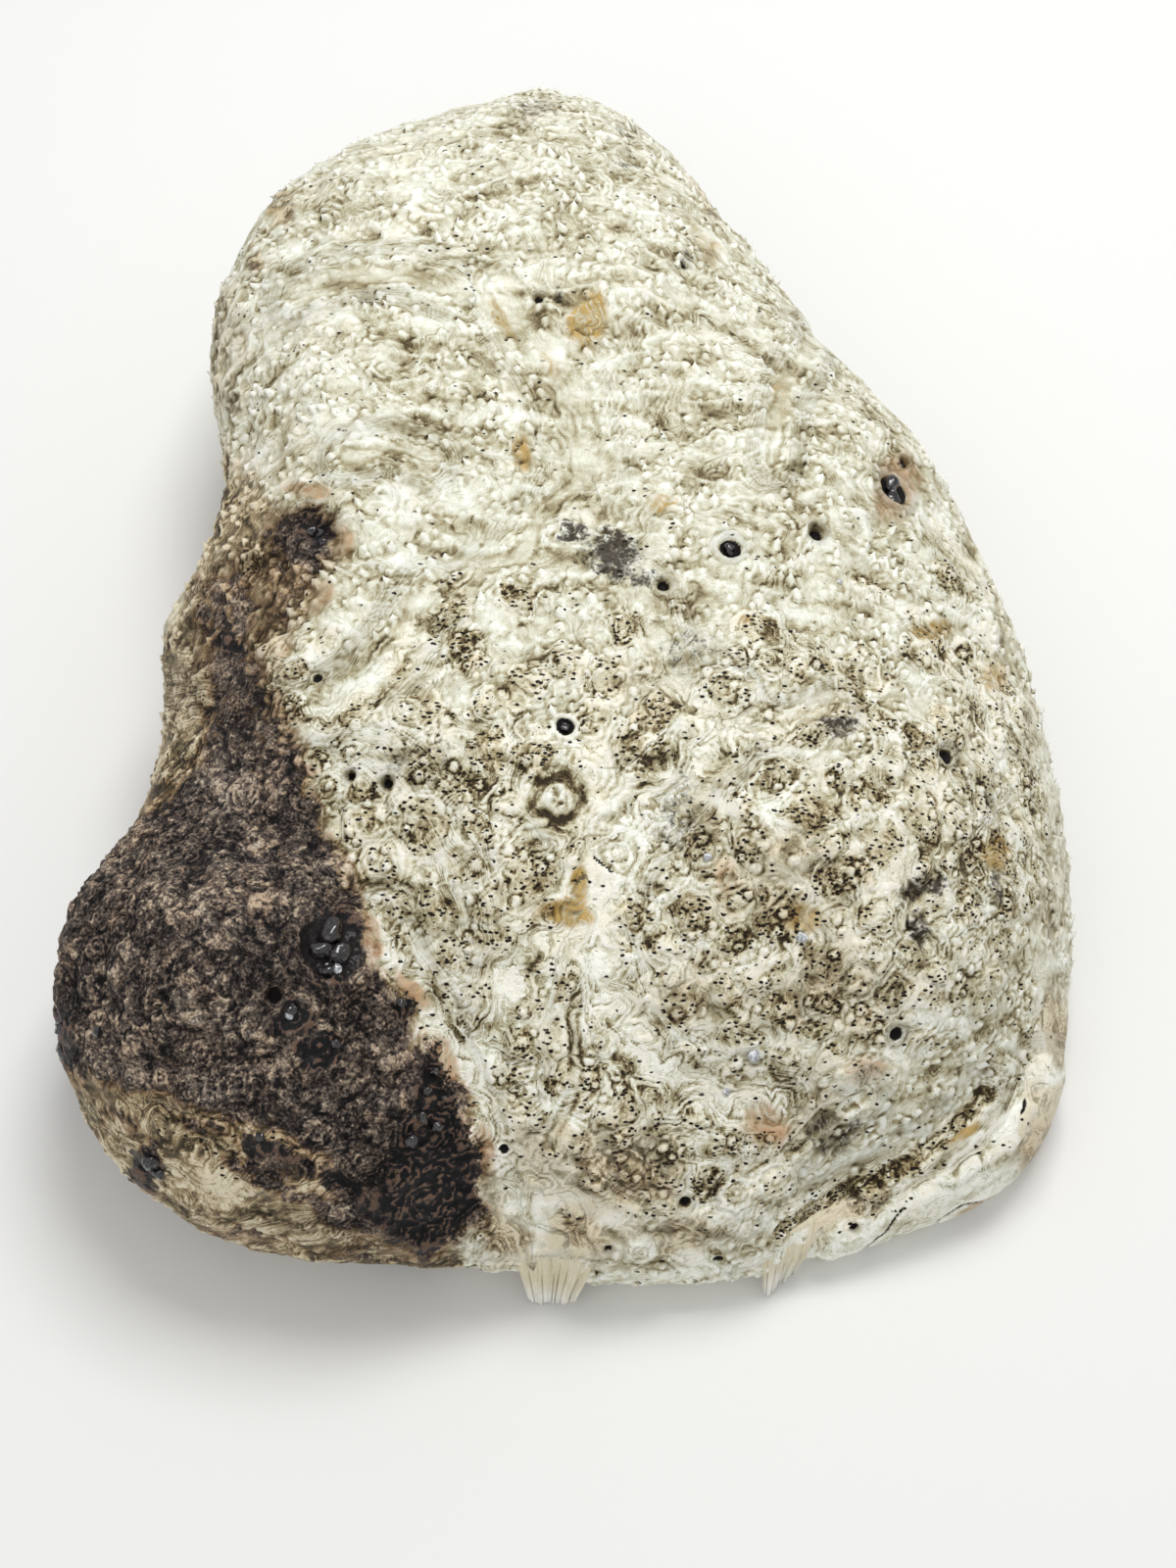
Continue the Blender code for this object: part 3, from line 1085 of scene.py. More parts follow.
    def long_grain(self) -> np.ndarray:
        """The run of the long fibres, without the swirls round eyes and buds.

        Returns:
            A value in millimetres whose contour lines are the fibres, one a point.
        """
        warp = self.noise(self.bare, 30 * MM, 3) * 19 + self.noise(self.bare, 8 * MM, 2) * 2.6
        flow = self.bare[:, 0] / MM * 0.8 + warp
        round_lobe = np.hypot(*(self.pixels - self.lobe_middle).T)
        in_lobe = np.maximum(self.bark, 1 - ease(round_lobe, 230, 330))
        flow = flow * (1 - in_lobe) + (round_lobe * PIXEL_MM + 0.4 * warp) * in_lobe
        nearest, side = np.full(len(flow), np.inf), np.zeros(len(flow))
        for stream in STREAMS + (PIT_ROW, LIP_FLOW):
            gap = stream.gap(self.pixels) - stream.half_width
            side = np.where(gap < nearest, stream.side(self.pixels) * PIXEL_MM, side)
            nearest = np.minimum(nearest, gap)
        in_stream = 1 - ease(nearest, 0, 28)
        return flow * (1 - in_stream) + (side + 0.15 * warp) * in_stream

    def pick(self, across: float, down: float) -> int:
        """The point in front of which a pixel of the photograph looks.

        Args:
            across: The pixel, across.
            down: The pixel, down.

        Returns:
            The point's number.
        """
        gap = np.hypot(self.pixels[:, 0] - across, self.pixels[:, 1] - down)
        near = np.flatnonzero(gap < max(4, gap.min() + 1))
        depth = self.bare[near] @ np.array(self.view.forward)
        return int(near[np.argmin(depth)])

    def carve_knots(self) -> None:
        """Carves the single knots that the photograph shows."""
        hole = np.zeros(len(self.bare))
        wobble = 1 + 0.12 * self.noise(self.bare, 6 * MM, 2)
        grain, lee = self.channels[Channel.GRAIN], self.channels[Channel.PAINTED_SHADE]
        for knot in KNOTS:
            radius = knot.radius * PIXEL_MM * MM
            away = np.linalg.norm(self.bare - self.bare[self.pick(knot.across, knot.down)], axis=1)
            near = away < 3.0 * radius
            t = away[near] / radius * wobble[near]
            keep = ease(t, 0.8, 1.7)
            if knot.kind is KnotKind.HOLE:
                shape = -2.4 * MM * np.exp(-(t**4))
                # Painted shade in a ring round the hole.
                lee[near] += 0.6 * np.exp(-(((t - 1.45) / 0.3) ** 2))
                hole[near] = np.maximum(hole[near], 1 - ease(t, 0.75, 1.15))
            elif knot.kind is KnotKind.PLUG:
                shape = -1.4 * MM * np.exp(-(t**4)) + 0.7 * MM * np.exp(-(((t - 1.3) / 0.3) ** 2))
                shape += 0.9 * MM * self.noise(self.bare[near], 2.2 * MM, 2) * np.exp(-(t**4))
                hole[near] = np.maximum(hole[near], 1 - ease(t, 0.85, 1.12))
            elif knot.kind is KnotKind.KNOB:
                groove = np.exp(-(((t - 0.85) / 0.26) ** 2))
                uneven = self.noise(self.bare[near], 4 * MM, 2)
                shape = (0.1 + 0.26 * uneven) * radius * np.exp(-((t / 0.5) ** 4))
                shape -= (1.4 + 0.8 * uneven) * MM * groove
                # Painted shade in the groove round the knob, through the hole colour and the shade
                # channel.
                hole[near] = np.maximum(hole[near], (0.12 + 0.35 * uneven) * groove)
                lee[near] += 0.2 * groove + 0.25 * (1 - ease(t, 1.0, 1.8))
            else:
                t = t * (1 + 0.3 * self.noise(self.bare[near], 3.5 * MM, 2))
                rings = 0.22 * MM * np.cos(2 * np.pi * t * 2.2) * (1 - ease(t, 0.6, 1.3))
                shape = rings + 0.4 * MM * np.exp(-(((t - 0.95) / 0.25) ** 2))
                keep = 0.5 + 0.5 * keep
            self.height[near] = self.height[near] * keep + shape
            self.hook[near] *= keep
            faded = lee if knot.kind is KnotKind.WHORL else self.pits
            faded[near] *= keep
            ring = 1 - ease(t, 1.0, 2.0)
            grain[near] = grain[near] * (1 - ring) + t * knot.radius * PIXEL_MM * ring
            self.calm[near] = np.maximum(self.calm[near], 0.25 * (1 - ease(t, 1.0, 1.8)))
        self.channels[Channel.HOLE] = np.maximum(hole, self.most(CRACKS, self.pixels))

    def store_stains(self) -> None:
        """Keeps the areas and stains for the finish; the brown areas also hold painted shade."""
        frayed = self.ragged(9 * MM, 10)
        streaked = self.ragged(22 * MM, 8)
        self.channels |= {
            Channel.PITS: self.pits,
            Channel.CALM: self.calm,
            Channel.BARK: self.bark,
            Channel.RESIN: self.most(RESIN, frayed),
            Channel.BROWN_AND_SHADE: self.most(BROWN_AND_SHADE, frayed),
            Channel.AMBER: self.most(AMBER, streaked),
            Channel.ASH: self.most(ASH, frayed),
            Channel.ROSE: self.most(ROSE, streaked),
        }

    def finished(self) -> np.ndarray:
        """The skin's points with everything raised, none below the sawn plane.

        Returns:
            The finished points, one a row.
        """
        clear = ease(self.bare[:, 2], 0, self.foot)
        height = (self.height - self.sink) * clear
        height += (1 - clear) * self.noise(self.bare * (1, 1, 0), 24 * MM, 3) * 2.2 * MM
        lean = self.lean * self.spike_height * self.hook * clear
        level = self.normal * (1, 1, 0)
        level /= np.linalg.norm(level, axis=1)[:, None] + 1e-6
        outward = self.normal * clear[:, None] + level * (1 - clear[:, None])
        points = self.bare + outward * height[:, None] + self.lean_of * lean[:, None]
        points[:, 2] = np.maximum(points[:, 2], 0)
        return points

    def hollows(self, points: np.ndarray, passes: int) -> np.ndarray:
        """How far points stand out from the surface smoothed round them, in metres.

        Args:
            points: The skin's finished points.
            passes: How many times to smooth.

        Returns:
            One value a point, below zero in a hollow.
        """
        edges = BareForm.edges_of(self.quads)
        kept = np.zeros(len(points), bool)
        smooth = points
        for _ in range(passes):
            smooth = BareForm.eased(smooth, edges, 0.7, kept)
        return np.einsum("ij,ij->i", points - smooth, self.normal)

    def flattened(self) -> np.ndarray:
        """The bare form opened out flat from its top, for the baked maps.

        Returns:
            One flat place a point.
        """
        top = self.bare[:, 2].max()
        reach = np.hypot(self.bare[:, 0], self.bare[:, 1])
        spread = (reach + top - self.bare[:, 2]) / (reach + 1e-9)
        return self.bare[:, :2] * spread[:, None]

    def pieces(self, names: Sequence[str]) -> list[bpy.types.Object]:
        """Cuts the skin into strips from the near edge to the far end.

        Args:
            names: The strips' names, near to far.

        Returns:
            One object a strip.
        """
        points = self.finished()
        # The finish paints shade in the hollows and highlights on the crests that these measure.
        crest = self.hollows(points, self.crest_passes) / self.crest_size
        cavity = self.hollows(points, self.cavity_passes) / self.cavity_size
        self.channels[Channel.CREST] = np.clip(crest, -1, 1)
        self.channels[Channel.CAVITY] = np.clip(cavity, -1, 1)
        normals = Surface(points, self.quads).normals()
        flat = self.flattened()
        middle = flat[self.quads][:, :, 1].mean(axis=1)
        cuts = np.quantile(middle, np.linspace(0, 1, len(names) + 1))
        strip = np.clip(np.searchsorted(cuts, middle, side="right") - 1, 0, len(names) - 1)
        made = []
        for index, name in enumerate(names):
            quads = self.quads[strip == index]
            used, where = np.unique(quads, return_inverse=True)
            mesh = mesh_of(name, points[used], where.reshape(-1, 4))
            for channel, values in self.channels.items():
                store = mesh.attributes.new(channel.value, "FLOAT", "POINT")
                store.data.foreach_set("value", values[used].astype(np.float32))
            spread = flat[used]
            low, high = spread.min(axis=0), spread.max(axis=0)
            layer = mesh.uv_layers.new(name="OFBake")
            places = ((spread - low) / (high - low))[where.ravel()]
            layer.data.foreach_set("uv", places.astype(np.float32).ravel())
            mesh.normals_split_custom_set_from_vertices(normals[used].tolist())
            made.append(place(name, mesh, replaces=True))
        return made


def place(name: str, mesh: bpy.types.Mesh, replaces: bool = False) -> bpy.types.Object:
    """Args:
        name: The piece's name.
        mesh: Its mesh.
        replaces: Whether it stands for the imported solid.

    Returns:
        The object.
    """
    piece = bpy.data.objects.new(name, mesh)
    bpy.context.scene.collection.objects.link(piece)
    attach(piece, "root")
    if replaces:
        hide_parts(NODE)
    log.info("%s: %d points, %d faces", name, len(mesh.vertices), len(mesh.polygons))
    return piece


# Finishes


class Wire:
    """A shader socket that takes part in sums."""

    def __init__(self, board: "Board", socket: bpy.types.NodeSocket) -> None:
        """Wraps a socket of a board.

        Args:
            board: The board that the socket is on.
            socket: The socket.
        """
        self.board = board
        self.socket = socket

    def _sum(self, operation: str, first: Any, second: Any = 0.0) -> "Wire":
        """Adds one Math node.

        Args:
            operation: What the node works out.
            first: Its first value.
            second: Its second value.

        Returns:
            The node's result.
        """
        node = self.board.add("ShaderNodeMath", {"operation": operation}, {0: first, 1: second})
        return Wire(self.board, node.outputs[0])

    def __add__(self, other: "Wire | float") -> "Wire":
        """Sum."""
        return self._sum("ADD", self, other)

    __radd__ = __add__

    def __mul__(self, other: "Wire | float") -> "Wire":
        """Product."""
        return self._sum("MULTIPLY", self, other)

    __rmul__ = __mul__

    def __sub__(self, other: "Wire | float") -> "Wire":
        """Difference."""
        return self._sum("SUBTRACT", self, other)

    def __rsub__(self, other: float) -> "Wire":
        """Difference the other way round."""
        return self._sum("SUBTRACT", other, self)

    def sine(self) -> "Wire":
        """Sine of the value in radians."""
        return self._sum("SINE", self)

    def least(self, other: "Wire | float") -> "Wire":
        """The smaller of two values."""
        return self._sum("MINIMUM", self, other)

    def rise(self, low: float, high: float) -> "Wire":
        """Rises smoothly from 0 at low to 1 at high.

        Args:
            low: The value that gives 0.
            high: The value that gives 1.

        Returns:
            The risen value.
        """
        settings = {"interpolation_type": "SMOOTHSTEP"}
        inputs = {"Value": self, "From Min": low, "From Max": high, "To Min": 0.0, "To Max": 1.0}
        node = self.board.add("ShaderNodeMapRange", settings, inputs)
        return Wire(self.board, node.outputs["Result"])


class Board:
    """A material under construction."""

    def __init__(self, name: str) -> None:
        """Starts a material with its one surface shader.

        Args:
            name: The material's name.
        """
        self.material = bpy.data.materials.new(name)
        self.material.use_nodes = True
        self.tree = self.material.node_tree
        self.surface = self.tree.nodes["Principled BSDF"]
        self._kept: dict[Any, Wire] = {}

    def add(self, kind: str, settings: dict[str, Any], inputs: dict[Any, Any]) -> bpy.types.Node:
        """Adds a node.

        Args:
            kind: The node's type.
            settings: Its settings, and a ramp's stops under "stops".
            inputs: Values or wires for its sockets, by name or number.

        Returns:
            The node.
        """
        node = self.tree.nodes.new(kind)
        for name, value in settings.items():
            if name == "stops":
                self._set_stops(node.color_ramp, value)
            else:
                setattr(node, name, value)
        for name, value in inputs.items():
            self.feed(node.inputs[name], value)
        return node

    @staticmethod
    def _set_stops(ramp: bpy.types.ColorRamp, stops: Sequence[tuple[float, Colour]]) -> None:
        """Sets a ramp's stops.

        Args:
            ramp: The ramp.
            stops: Its positions and colours, in order.
        """
        while len(ramp.elements) < len(stops):
            ramp.elements.new(1.0)
        for element, (position, colour) in zip(ramp.elements, stops):
            element.position = position
            element.color = colour

    def feed(self, socket: bpy.types.NodeSocket, value: Any) -> None:
        """Links a wire to a socket, or sets its value.

        Args:
            socket: The socket.
            value: A wire, or the value to set.
        """
        if isinstance(value, Wire):
            self.tree.links.new(value.socket, socket)
        else:
            socket.default_value = value

    def shine(self, **inputs: Any) -> None:
        """Feeds the surface shader's sockets, named with underscores for spaces."""
        for name, value in inputs.items():
            self.feed(self.surface.inputs[name.replace("_", " ")], value)

    def channel(self, channel: Channel) -> Wire:
        """What the skin stores under a channel.

        Args:
            channel: The channel.

        Returns:
            The channel's value at the point.
        """
        if channel not in self._kept:
            node = self.add("ShaderNodeAttribute", {"attribute_name": channel.value}, {})
            self._kept[channel] = Wire(self, node.outputs["Fac"])
        return self._kept[channel]

    def where(self) -> Wire:
        """The point's place in the object.

        Returns:
            The place.
        """
        if "where" not in self._kept:
            node = self.add("ShaderNodeTexCoord", {}, {})
            self._kept["where"] = Wire(self, node.outputs["Object"])
        return self._kept["where"]

    def parts(self) -> tuple[Wire, Wire, Wire]:
        """The point's place across, along and up."""
        node = self.add("ShaderNodeSeparateXYZ", {}, {0: self.where()})
        return tuple(Wire(self, node.outputs[axis]) for axis in range(3))

    def drawn_out(self, turn_deg: float, longer: float) -> Wire:
        """The point's place, for a pattern that is longer one way.

        Args:
            turn_deg: Which way it is longer, from the width towards the length.
            longer: How many times longer.

        Returns:
            The place to feed to a pattern.
        """
        turn = (0, 0, -math.radians(turn_deg))
        inputs = {"Vector": self.where(), "Rotation": turn, "Scale": (1 / longer, 1, 1)}
        node = self.add("ShaderNodeMapping", {"vector_type": "POINT"}, inputs)
        return Wire(self, node.outputs[0])

    def noise(
        self, size: float, detail: float = 2, distort: float = 0, rough: float = 0.5,
        place: Wire | None = None,
    ) -> Wire:
        """Noise from 0 to 1.

        Args:
            size: Size of the lumps, in metres.
            detail: How many finer layers to add.
            distort: How much it swirls.
            rough: How strong the finer layers are.
            place: Where it is read, or the point's own place.

        Returns:
            The noise's value.
        """
        inputs = {
            "Vector": place or self.where(), "Scale": 1 / size, "Detail": detail,
            "Distortion": distort, "Roughness": rough,
        }
        node = self.add("ShaderNodeTexNoise", {}, inputs)
        return Wire(self, node.outputs["Fac"])

    def streaks(self, across: Wire, width: float, length: float, detail: float = 2) -> Wire:
        """Noise drawn out along the lines on which a value stays the same.

        Args:
            across: The value, in millimetres.
            width: How wide the streaks are, in millimetres.
            length: How long they are, in metres.
            detail: How many finer layers to add.

        Returns:
            The noise's value, 0 to 1.
        """
        x, y, _ = self.parts()
        inputs = {0: across * (1 / width), 1: x * (1 / length), 2: y * (1 / length)}
        vector = self.add("ShaderNodeCombineXYZ", {}, inputs)
        inputs = {"Vector": Wire(self, vector.outputs[0]), "Scale": 1.0, "Detail": detail}
        node = self.add("ShaderNodeTexNoise", {}, inputs)
        return Wire(self, node.outputs["Fac"])

    def cells(self, size: float, place: Wire | None = None) -> tuple[Wire, Wire]:
        """Scattered cells.

        Args:
            size: Distance between cells, in metres.
            place: Where they are read, or the point's own place.

        Returns:
            The distance from the cell's middle, and a random value of the cell.
        """
        inputs = {"Vector": place or self.where(), "Scale": 1 / size}
        node = self.add("ShaderNodeTexVoronoi", {"feature": "F1"}, inputs)
        parts = self.add("ShaderNodeSeparateColor", {}, {0: Wire(self, node.outputs["Color"])})
        return Wire(self, node.outputs["Distance"]), Wire(self, parts.outputs[0])

    def ramp(self, value: Wire, stops: Sequence[tuple[float, Colour]]) -> Wire:
        """A colour for a value."""
        node = self.add("ShaderNodeValToRGB", {"stops": stops}, {0: value})
        return Wire(self, node.outputs["Color"])

    def mix(self, share: Any, first: Any, second: Any, how: str = "MIX") -> Wire:
        """Blends two colours.

        Args:
            share: How much of the second.
            first: The first colour.
            second: The second colour.
            how: The kind of blend.

        Returns:
            The blended colour.
        """
        settings = {"data_type": "RGBA", "blend_type": how}
        node = self.add("ShaderNodeMix", settings, {0: share, 6: first, 7: second})
        return Wire(self, node.outputs[2])

    def bump(self, height: Wire, depth: float, strength: float = 1) -> Wire:
        """A normal from a height of 0 to 1 that stands for a depth in metres.

        Args:
            height: The height.
            depth: What a height of 1 stands for.
            strength: How much of the bump shows.

        Returns:
            The normal.
        """
        inputs = {"Height": height, "Distance": depth, "Strength": strength}
        node = self.add("ShaderNodeBump", {}, inputs)
        return Wire(self, node.outputs["Normal"])


class BurlFigure:
    """The patterns in the skin that its finish is mixed from, each about zero."""

    def __init__(self, board: Board) -> None:
        """Adds the patterns to a board.

        Args:
            board: The burl's board.
        """
        self.swirl = board.noise(3.2 * MM, 3, 1.4, 0.6) - 0.5
        self.cloud = board.noise(26 * MM, 2) - 0.5
        self.bleach = board.noise(11 * MM, 2, 0.6, place=board.drawn_out(15, 2.2)) - 0.5
        self.fine = board.noise(1.0 * MM, 1) - 0.5
        grain = board.channel(Channel.GRAIN) + self.swirl * 5.0
        self.hairs = board.streaks(grain, 0.75, 9 * MM) - 0.5
        self.bands = board.streaks(grain, 3.4, 16 * MM) - 0.5
        self.line = self.hairs * 0.8 + self.bands * 0.85 + self.swirl * 0.5
        self.stain = self.hairs * 1.6 + self.bands * 1.6 + self.swirl * 0.6


@dataclass(frozen=True)
class BurlFinish:
    """The grown skin: bleached wood, dark bark, glossy resin and stains, with painted shade in
    hollows and beside buds and painted highlights on crests, bud tips and resin.
    """

    wood_stops: Stops = (
        (0.0, paint(50, 40, 25)),
        (0.2, paint(105, 92, 64)),
        (0.4, paint(169, 159, 126)),
        (0.6, paint(207, 204, 181)),
        (0.8, paint(231, 231, 214)),
        (1.0, paint(250, 250, 241)),
    )
    bark_stops: Stops = (
        (0.0, paint(6, 5, 6)),
        (0.25, paint(34, 29, 28)),
        (0.45, paint(70, 62, 57)),
        (0.65, paint(104, 94, 86)),
        (0.85, paint(154, 140, 122)),
        (1.0, paint(196, 184, 164)),
    )
    brown_stops: Stops = (
        (0.0, paint(34, 24, 15)),
        (0.25, paint(84, 66, 43)),
        (0.5, paint(142, 120, 84)),
        (0.75, paint(186, 168, 130)),
        (1.0, paint(226, 214, 186)),
    )
    resin_stops: Stops = (
        (0.35, paint(2, 2, 5)),
        (0.6, paint(12, 10, 15)),
        (0.8, paint(44, 36, 36)),
        (1.0, paint(100, 78, 64)),
    )
    amber: Colour = (0.58, 0.40, 0.15, 1.0)
    rose: Colour = (0.62, 0.43, 0.30, 1.0)
    ash: Colour = (0.10, 0.088, 0.085, 1.0)
    warm: Colour = (0.92, 0.79, 0.57, 1.0)
    pitted_ground: Colour = (0.90, 0.80, 0.64, 1.0)
    red_bark: Colour = (0.96, 0.76, 0.62, 1.0)
    blue_bark: Colour = (0.86, 0.88, 1.0, 1.0)
    bark_rim: Colour = (0.62, 0.44, 0.32, 1.0)
    pit: Colour = paint(26, 19, 13)
    hole: Colour = paint(20, 16, 15)
    pit_gap: float = 1.55 * MM

    def material(self) -> bpy.types.Material:
        """Wires the finish.

        Returns:
            The material.
        """
        board = Board("burl_skin")
        figure = BurlFigure(board)
        tone = self.tone(board, figure)
        wood = self.stained(board, figure, tone, self.wood(board, figure, tone))
        colour = self.barked(board, figure, wood)
        pits = self.pits(board, figure)
        colour = board.mix(pits, colour, self.pit)
        wet = board.channel(Channel.RESIN) + figure.swirl * 1.6 + figure.line * 0.6
        wet = wet.rise(0.4, 0.65)
        # Painted glints on the resin: lighter on its crests and bumps.
        glint = board.channel(Channel.CREST) * 0.5 + board.channel(Channel.CAVITY) * 0.3
        resin_with_painted_glint = board.ramp(figure.line + glint + figure.fine * 0.6 + 0.5, self.resin_stops)
        colour = board.mix(wet * 0.96, colour, resin_with_painted_glint)
        hole = (board.channel(Channel.HOLE) + figure.fine * 0.3).rise(0.3, 0.75)
        rough = 0.62 - wet * 0.26 + board.channel(Channel.BARK) * 0.12
        height = figure.hairs * 0.9 + figure.swirl * 0.6 + figure.fine * 0.35 - pits * 1.3
        board.shine(
            Base_Color=board.mix(hole, colour, self.hole),
            Roughness=rough - board.channel(Channel.CALM) * 0.08,
            Coat_Weight=wet * 0.12,
            Normal=board.bump(height, 0.9 * MM, 0.65),
        )
        board.shine(Specular_IOR_Level=0.18, Coat_Roughness=0.06)
        return board.material

    @staticmethod
    def tone(board: Board, figure: BurlFigure) -> Wire:
        """How light the bare wood is, with painted shade in hollows and beside buds and painted
        highlights on crests and bud tips.

        Args:
            board: The burl's board.
            figure: Its patterns.

        Returns:
            The tone, about 0 to 1.
        """
        eyed, stream = board.channel(Channel.EYED), board.channel(Channel.STREAM)
        pitted = board.channel(Channel.PITS)
        # Painted light from the relief: hollows darker and what stands out lighter, crests and bud
        # tips lighter as painted highlights, and painted shade beside buds.
        tone = board.channel(Channel.CAVITY) * (eyed * 0.15 + 0.12)
        tone = tone + board.channel(Channel.CREST) * 0.14
        tone = tone + board.channel(Channel.SPIKE) * 0.28 - board.channel(Channel.PAINTED_SHADE) * 0.5
        tone = tone + figure.line * (eyed * 0.45 + stream * 0.6 + 0.85) + figure.cloud * 0.3
        tone = tone + figure.bleach * (1.25 - eyed * 0.4)
        tone = tone + figure.fine * (pitted * 0.6 + 0.15) - pitted * 0.24
        calm = board.channel(Channel.CALM)
        # Smooth calm wood is paler in its own colour; on the lip the lift is partly painted light.
        return tone + stream * 0.13 + calm * 0.07 + eyed * 0.015 + 0.648

    def wood(self, board: Board, figure: BurlFigure, tone: Wire) -> Wire:
        """The bare wood, warmer in places and between its pits.

        Args:
            board: The burl's board.
            figure: Its patterns.
            tone: How light the wood is.

        Returns:
            The wood's colour.
        """
        wood = board.ramp(tone, self.wood_stops)
        warm = figure.cloud * 1.6 + figure.bands * 2.0 + board.channel(Channel.EYED) * 0.25
        wood = board.mix(warm.rise(0.1, 0.7) * 0.3, wood, self.warm, "MULTIPLY")
        pitted = (board.channel(Channel.PITS) * 0.55).least(1)
        return board.mix(pitted, wood, self.pitted_ground, "MULTIPLY")

    def stained(self, board: Board, figure: BurlFigure, tone: Wire, wood: Wire) -> Wire:
        """The wood with its amber, rose and ash-grey stains and its brown areas, which are partly
        brown stain and partly painted shade.

        Args:
            board: The burl's board.
            figure: Its patterns.
            tone: How light the wood is.
            wood: The wood's colour.

        Returns:
            The stained wood's colour.
        """
        amber = board.channel(Channel.AMBER) * (figure.stain * 2.2 + 1.2)
        wood = board.mix(amber.rise(0.1, 1.3), wood, self.amber, "MULTIPLY")
        rose = board.channel(Channel.ROSE) * (figure.stain * 1.6 + 1.1)
        wood = board.mix(rose.rise(0.15, 1.2), wood, self.rose, "MULTIPLY")
        # Carries the tone's painted light, and the bud tips' painted highlight, into the brown areas.
        streaky = (tone - 0.6) * 1.4 + figure.line * 1.0 + board.channel(Channel.SPIKE) * 0.3
        brown = board.ramp(streaky + 0.4, self.brown_stops)
        # Brown areas, partly brown stain and partly painted shade.
        brown_and_shade_cover = board.channel(Channel.BROWN_AND_SHADE) * 1.1 + figure.stain * 0.7 + figure.cloud * 0.6
        wood = board.mix(brown_and_shade_cover.rise(0.2, 1.0) * 0.92, wood, brown)
        ash = board.channel(Channel.ASH)
        flecks = ash * 1.1 - board.channel(Channel.CAVITY) * 0.35
        flecks = flecks + figure.swirl * 2.8 + figure.fine * 1.2
        greyed = ((ash * 3).least(1) * flecks).rise(0.05, 1.15)
        return board.mix(greyed, wood, self.ash, "MULTIPLY")

    def barked(self, board: Board, figure: BurlFigure, wood: Wire) -> Wire:
        """The wood with dark bark over it, tan along the bark's rim; the bark's crust holds painted
        shade in hollows and beside buds and painted highlights on crests and tips.

        Args:
            board: The burl's board.
            figure: Its patterns.
            wood: The wood's colour.

        Returns:
            The colour of both.
        """
        bark, cavity = board.channel(Channel.BARK), board.channel(Channel.CAVITY)
        # The bark's own crust pattern, with painted shade in hollows and beside buds and painted
        # highlights on crests and tips.
        crust_and_painted_light = cavity * 0.1 + board.channel(Channel.CREST) * 0.12
        crust_and_painted_light = crust_and_painted_light + board.channel(Channel.SPIKE) * 0.2 - board.channel(Channel.PAINTED_SHADE) * 0.25
        crust_and_painted_light = crust_and_painted_light + figure.line * 1.15 + figure.swirl * 0.9 + figure.bleach * 0.6
        crust_and_painted_light = crust_and_painted_light + figure.fine * 1.0 + figure.cloud * 0.9 + 0.46
        dark = board.ramp(crust_and_painted_light, self.bark_stops)
        red = (figure.bands * 2 + 0.3).rise(0, 0.8) * 0.6
        dark = board.mix(red, dark, self.red_bark, "MULTIPLY")
        blue = (figure.cloud * 2 - figure.bands).rise(0.1, 0.7) * 0.5
        dark = board.mix(blue, dark, self.blue_bark, "MULTIPLY")
        ragged = bark + figure.swirl * 1.1 + figure.line * 0.5 - cavity * 0.12
        ragged = ragged + figure.cloud * 0.7
        rim = (bark * 5).least(1) * ragged.rise(-0.05, 0.45) * 0.8
        wood = board.mix(rim, wood, self.bark_rim, "MULTIPLY")
        return board.mix(ragged.rise(0.3, 0.62), wood, dark)

    def pits(self, board: Board, figure: BurlFigure) -> Wire:
        """The small black pits, drawn out along the fibres.

        Args:
            board: The burl's board.
            figure: Its patterns.

        Returns:
            1 in a pit and 0 outside.
        """
        away, chance = board.cells(self.pit_gap, board.drawn_out(65, 1.7))
        pits = (board.channel(Channel.PITS) * 1.15 - chance).rise(-0.02, 0.02)
        return pits * (1 - (away + figure.fine * 0.4).rise(0.26, 0.4))


@dataclass(frozen=True)
class SawnFinish:
    """The sawn face: burl figure of eyes and swirls, with faint saw marks."""

    saw_mark: Colour = paint(120, 88, 58)
    mark_gap: float = 4.2 * MM
    stops: Stops = (
        (0.0, paint(98, 66, 40)),
        (0.35, paint(160, 120, 80)),
        (0.65, paint(196, 160, 116)),
        (1.0, paint(222, 194, 152)),
    )

    def material(self) -> bpy.types.Material:
        """Wires the finish.

        Returns:
            The material.
        """
        board = Board("sawn_burl")
        swirl = board.noise(9 * MM, 4, 2.2, 0.55)
        cloud = board.noise(60 * MM, 3)
        fine = board.noise(1.2 * MM, 2)
        away, chance = board.cells(7 * MM)
        eyes = (0.34 - away).rise(0, 0.2) * chance.rise(0.35, 0.6)
        rings = (away * 26 + swirl * 4).sine() * 0.5 + 0.5
        tone = swirl * 0.8 + cloud * 0.4 + fine * 0.14 + rings * 0.12 - eyes * 0.35 - 0.14
        colour = board.ramp(tone, self.stops)
        _, along, _ = board.parts()
        saw = (along * (2 * math.pi / self.mark_gap) + cloud * 6).sine()
        height = saw * 0.35 + fine * 0.4 + swirl * 0.25
        board.shine(
            Base_Color=board.mix(saw.rise(0.2, 1) * 0.12, colour, self.saw_mark),
            Roughness=0.72,
            Normal=board.bump(height, 0.4 * MM, 0.5),
        )
        return board.material


# The sawn face, the fibre tabs, the resin beads and the stage


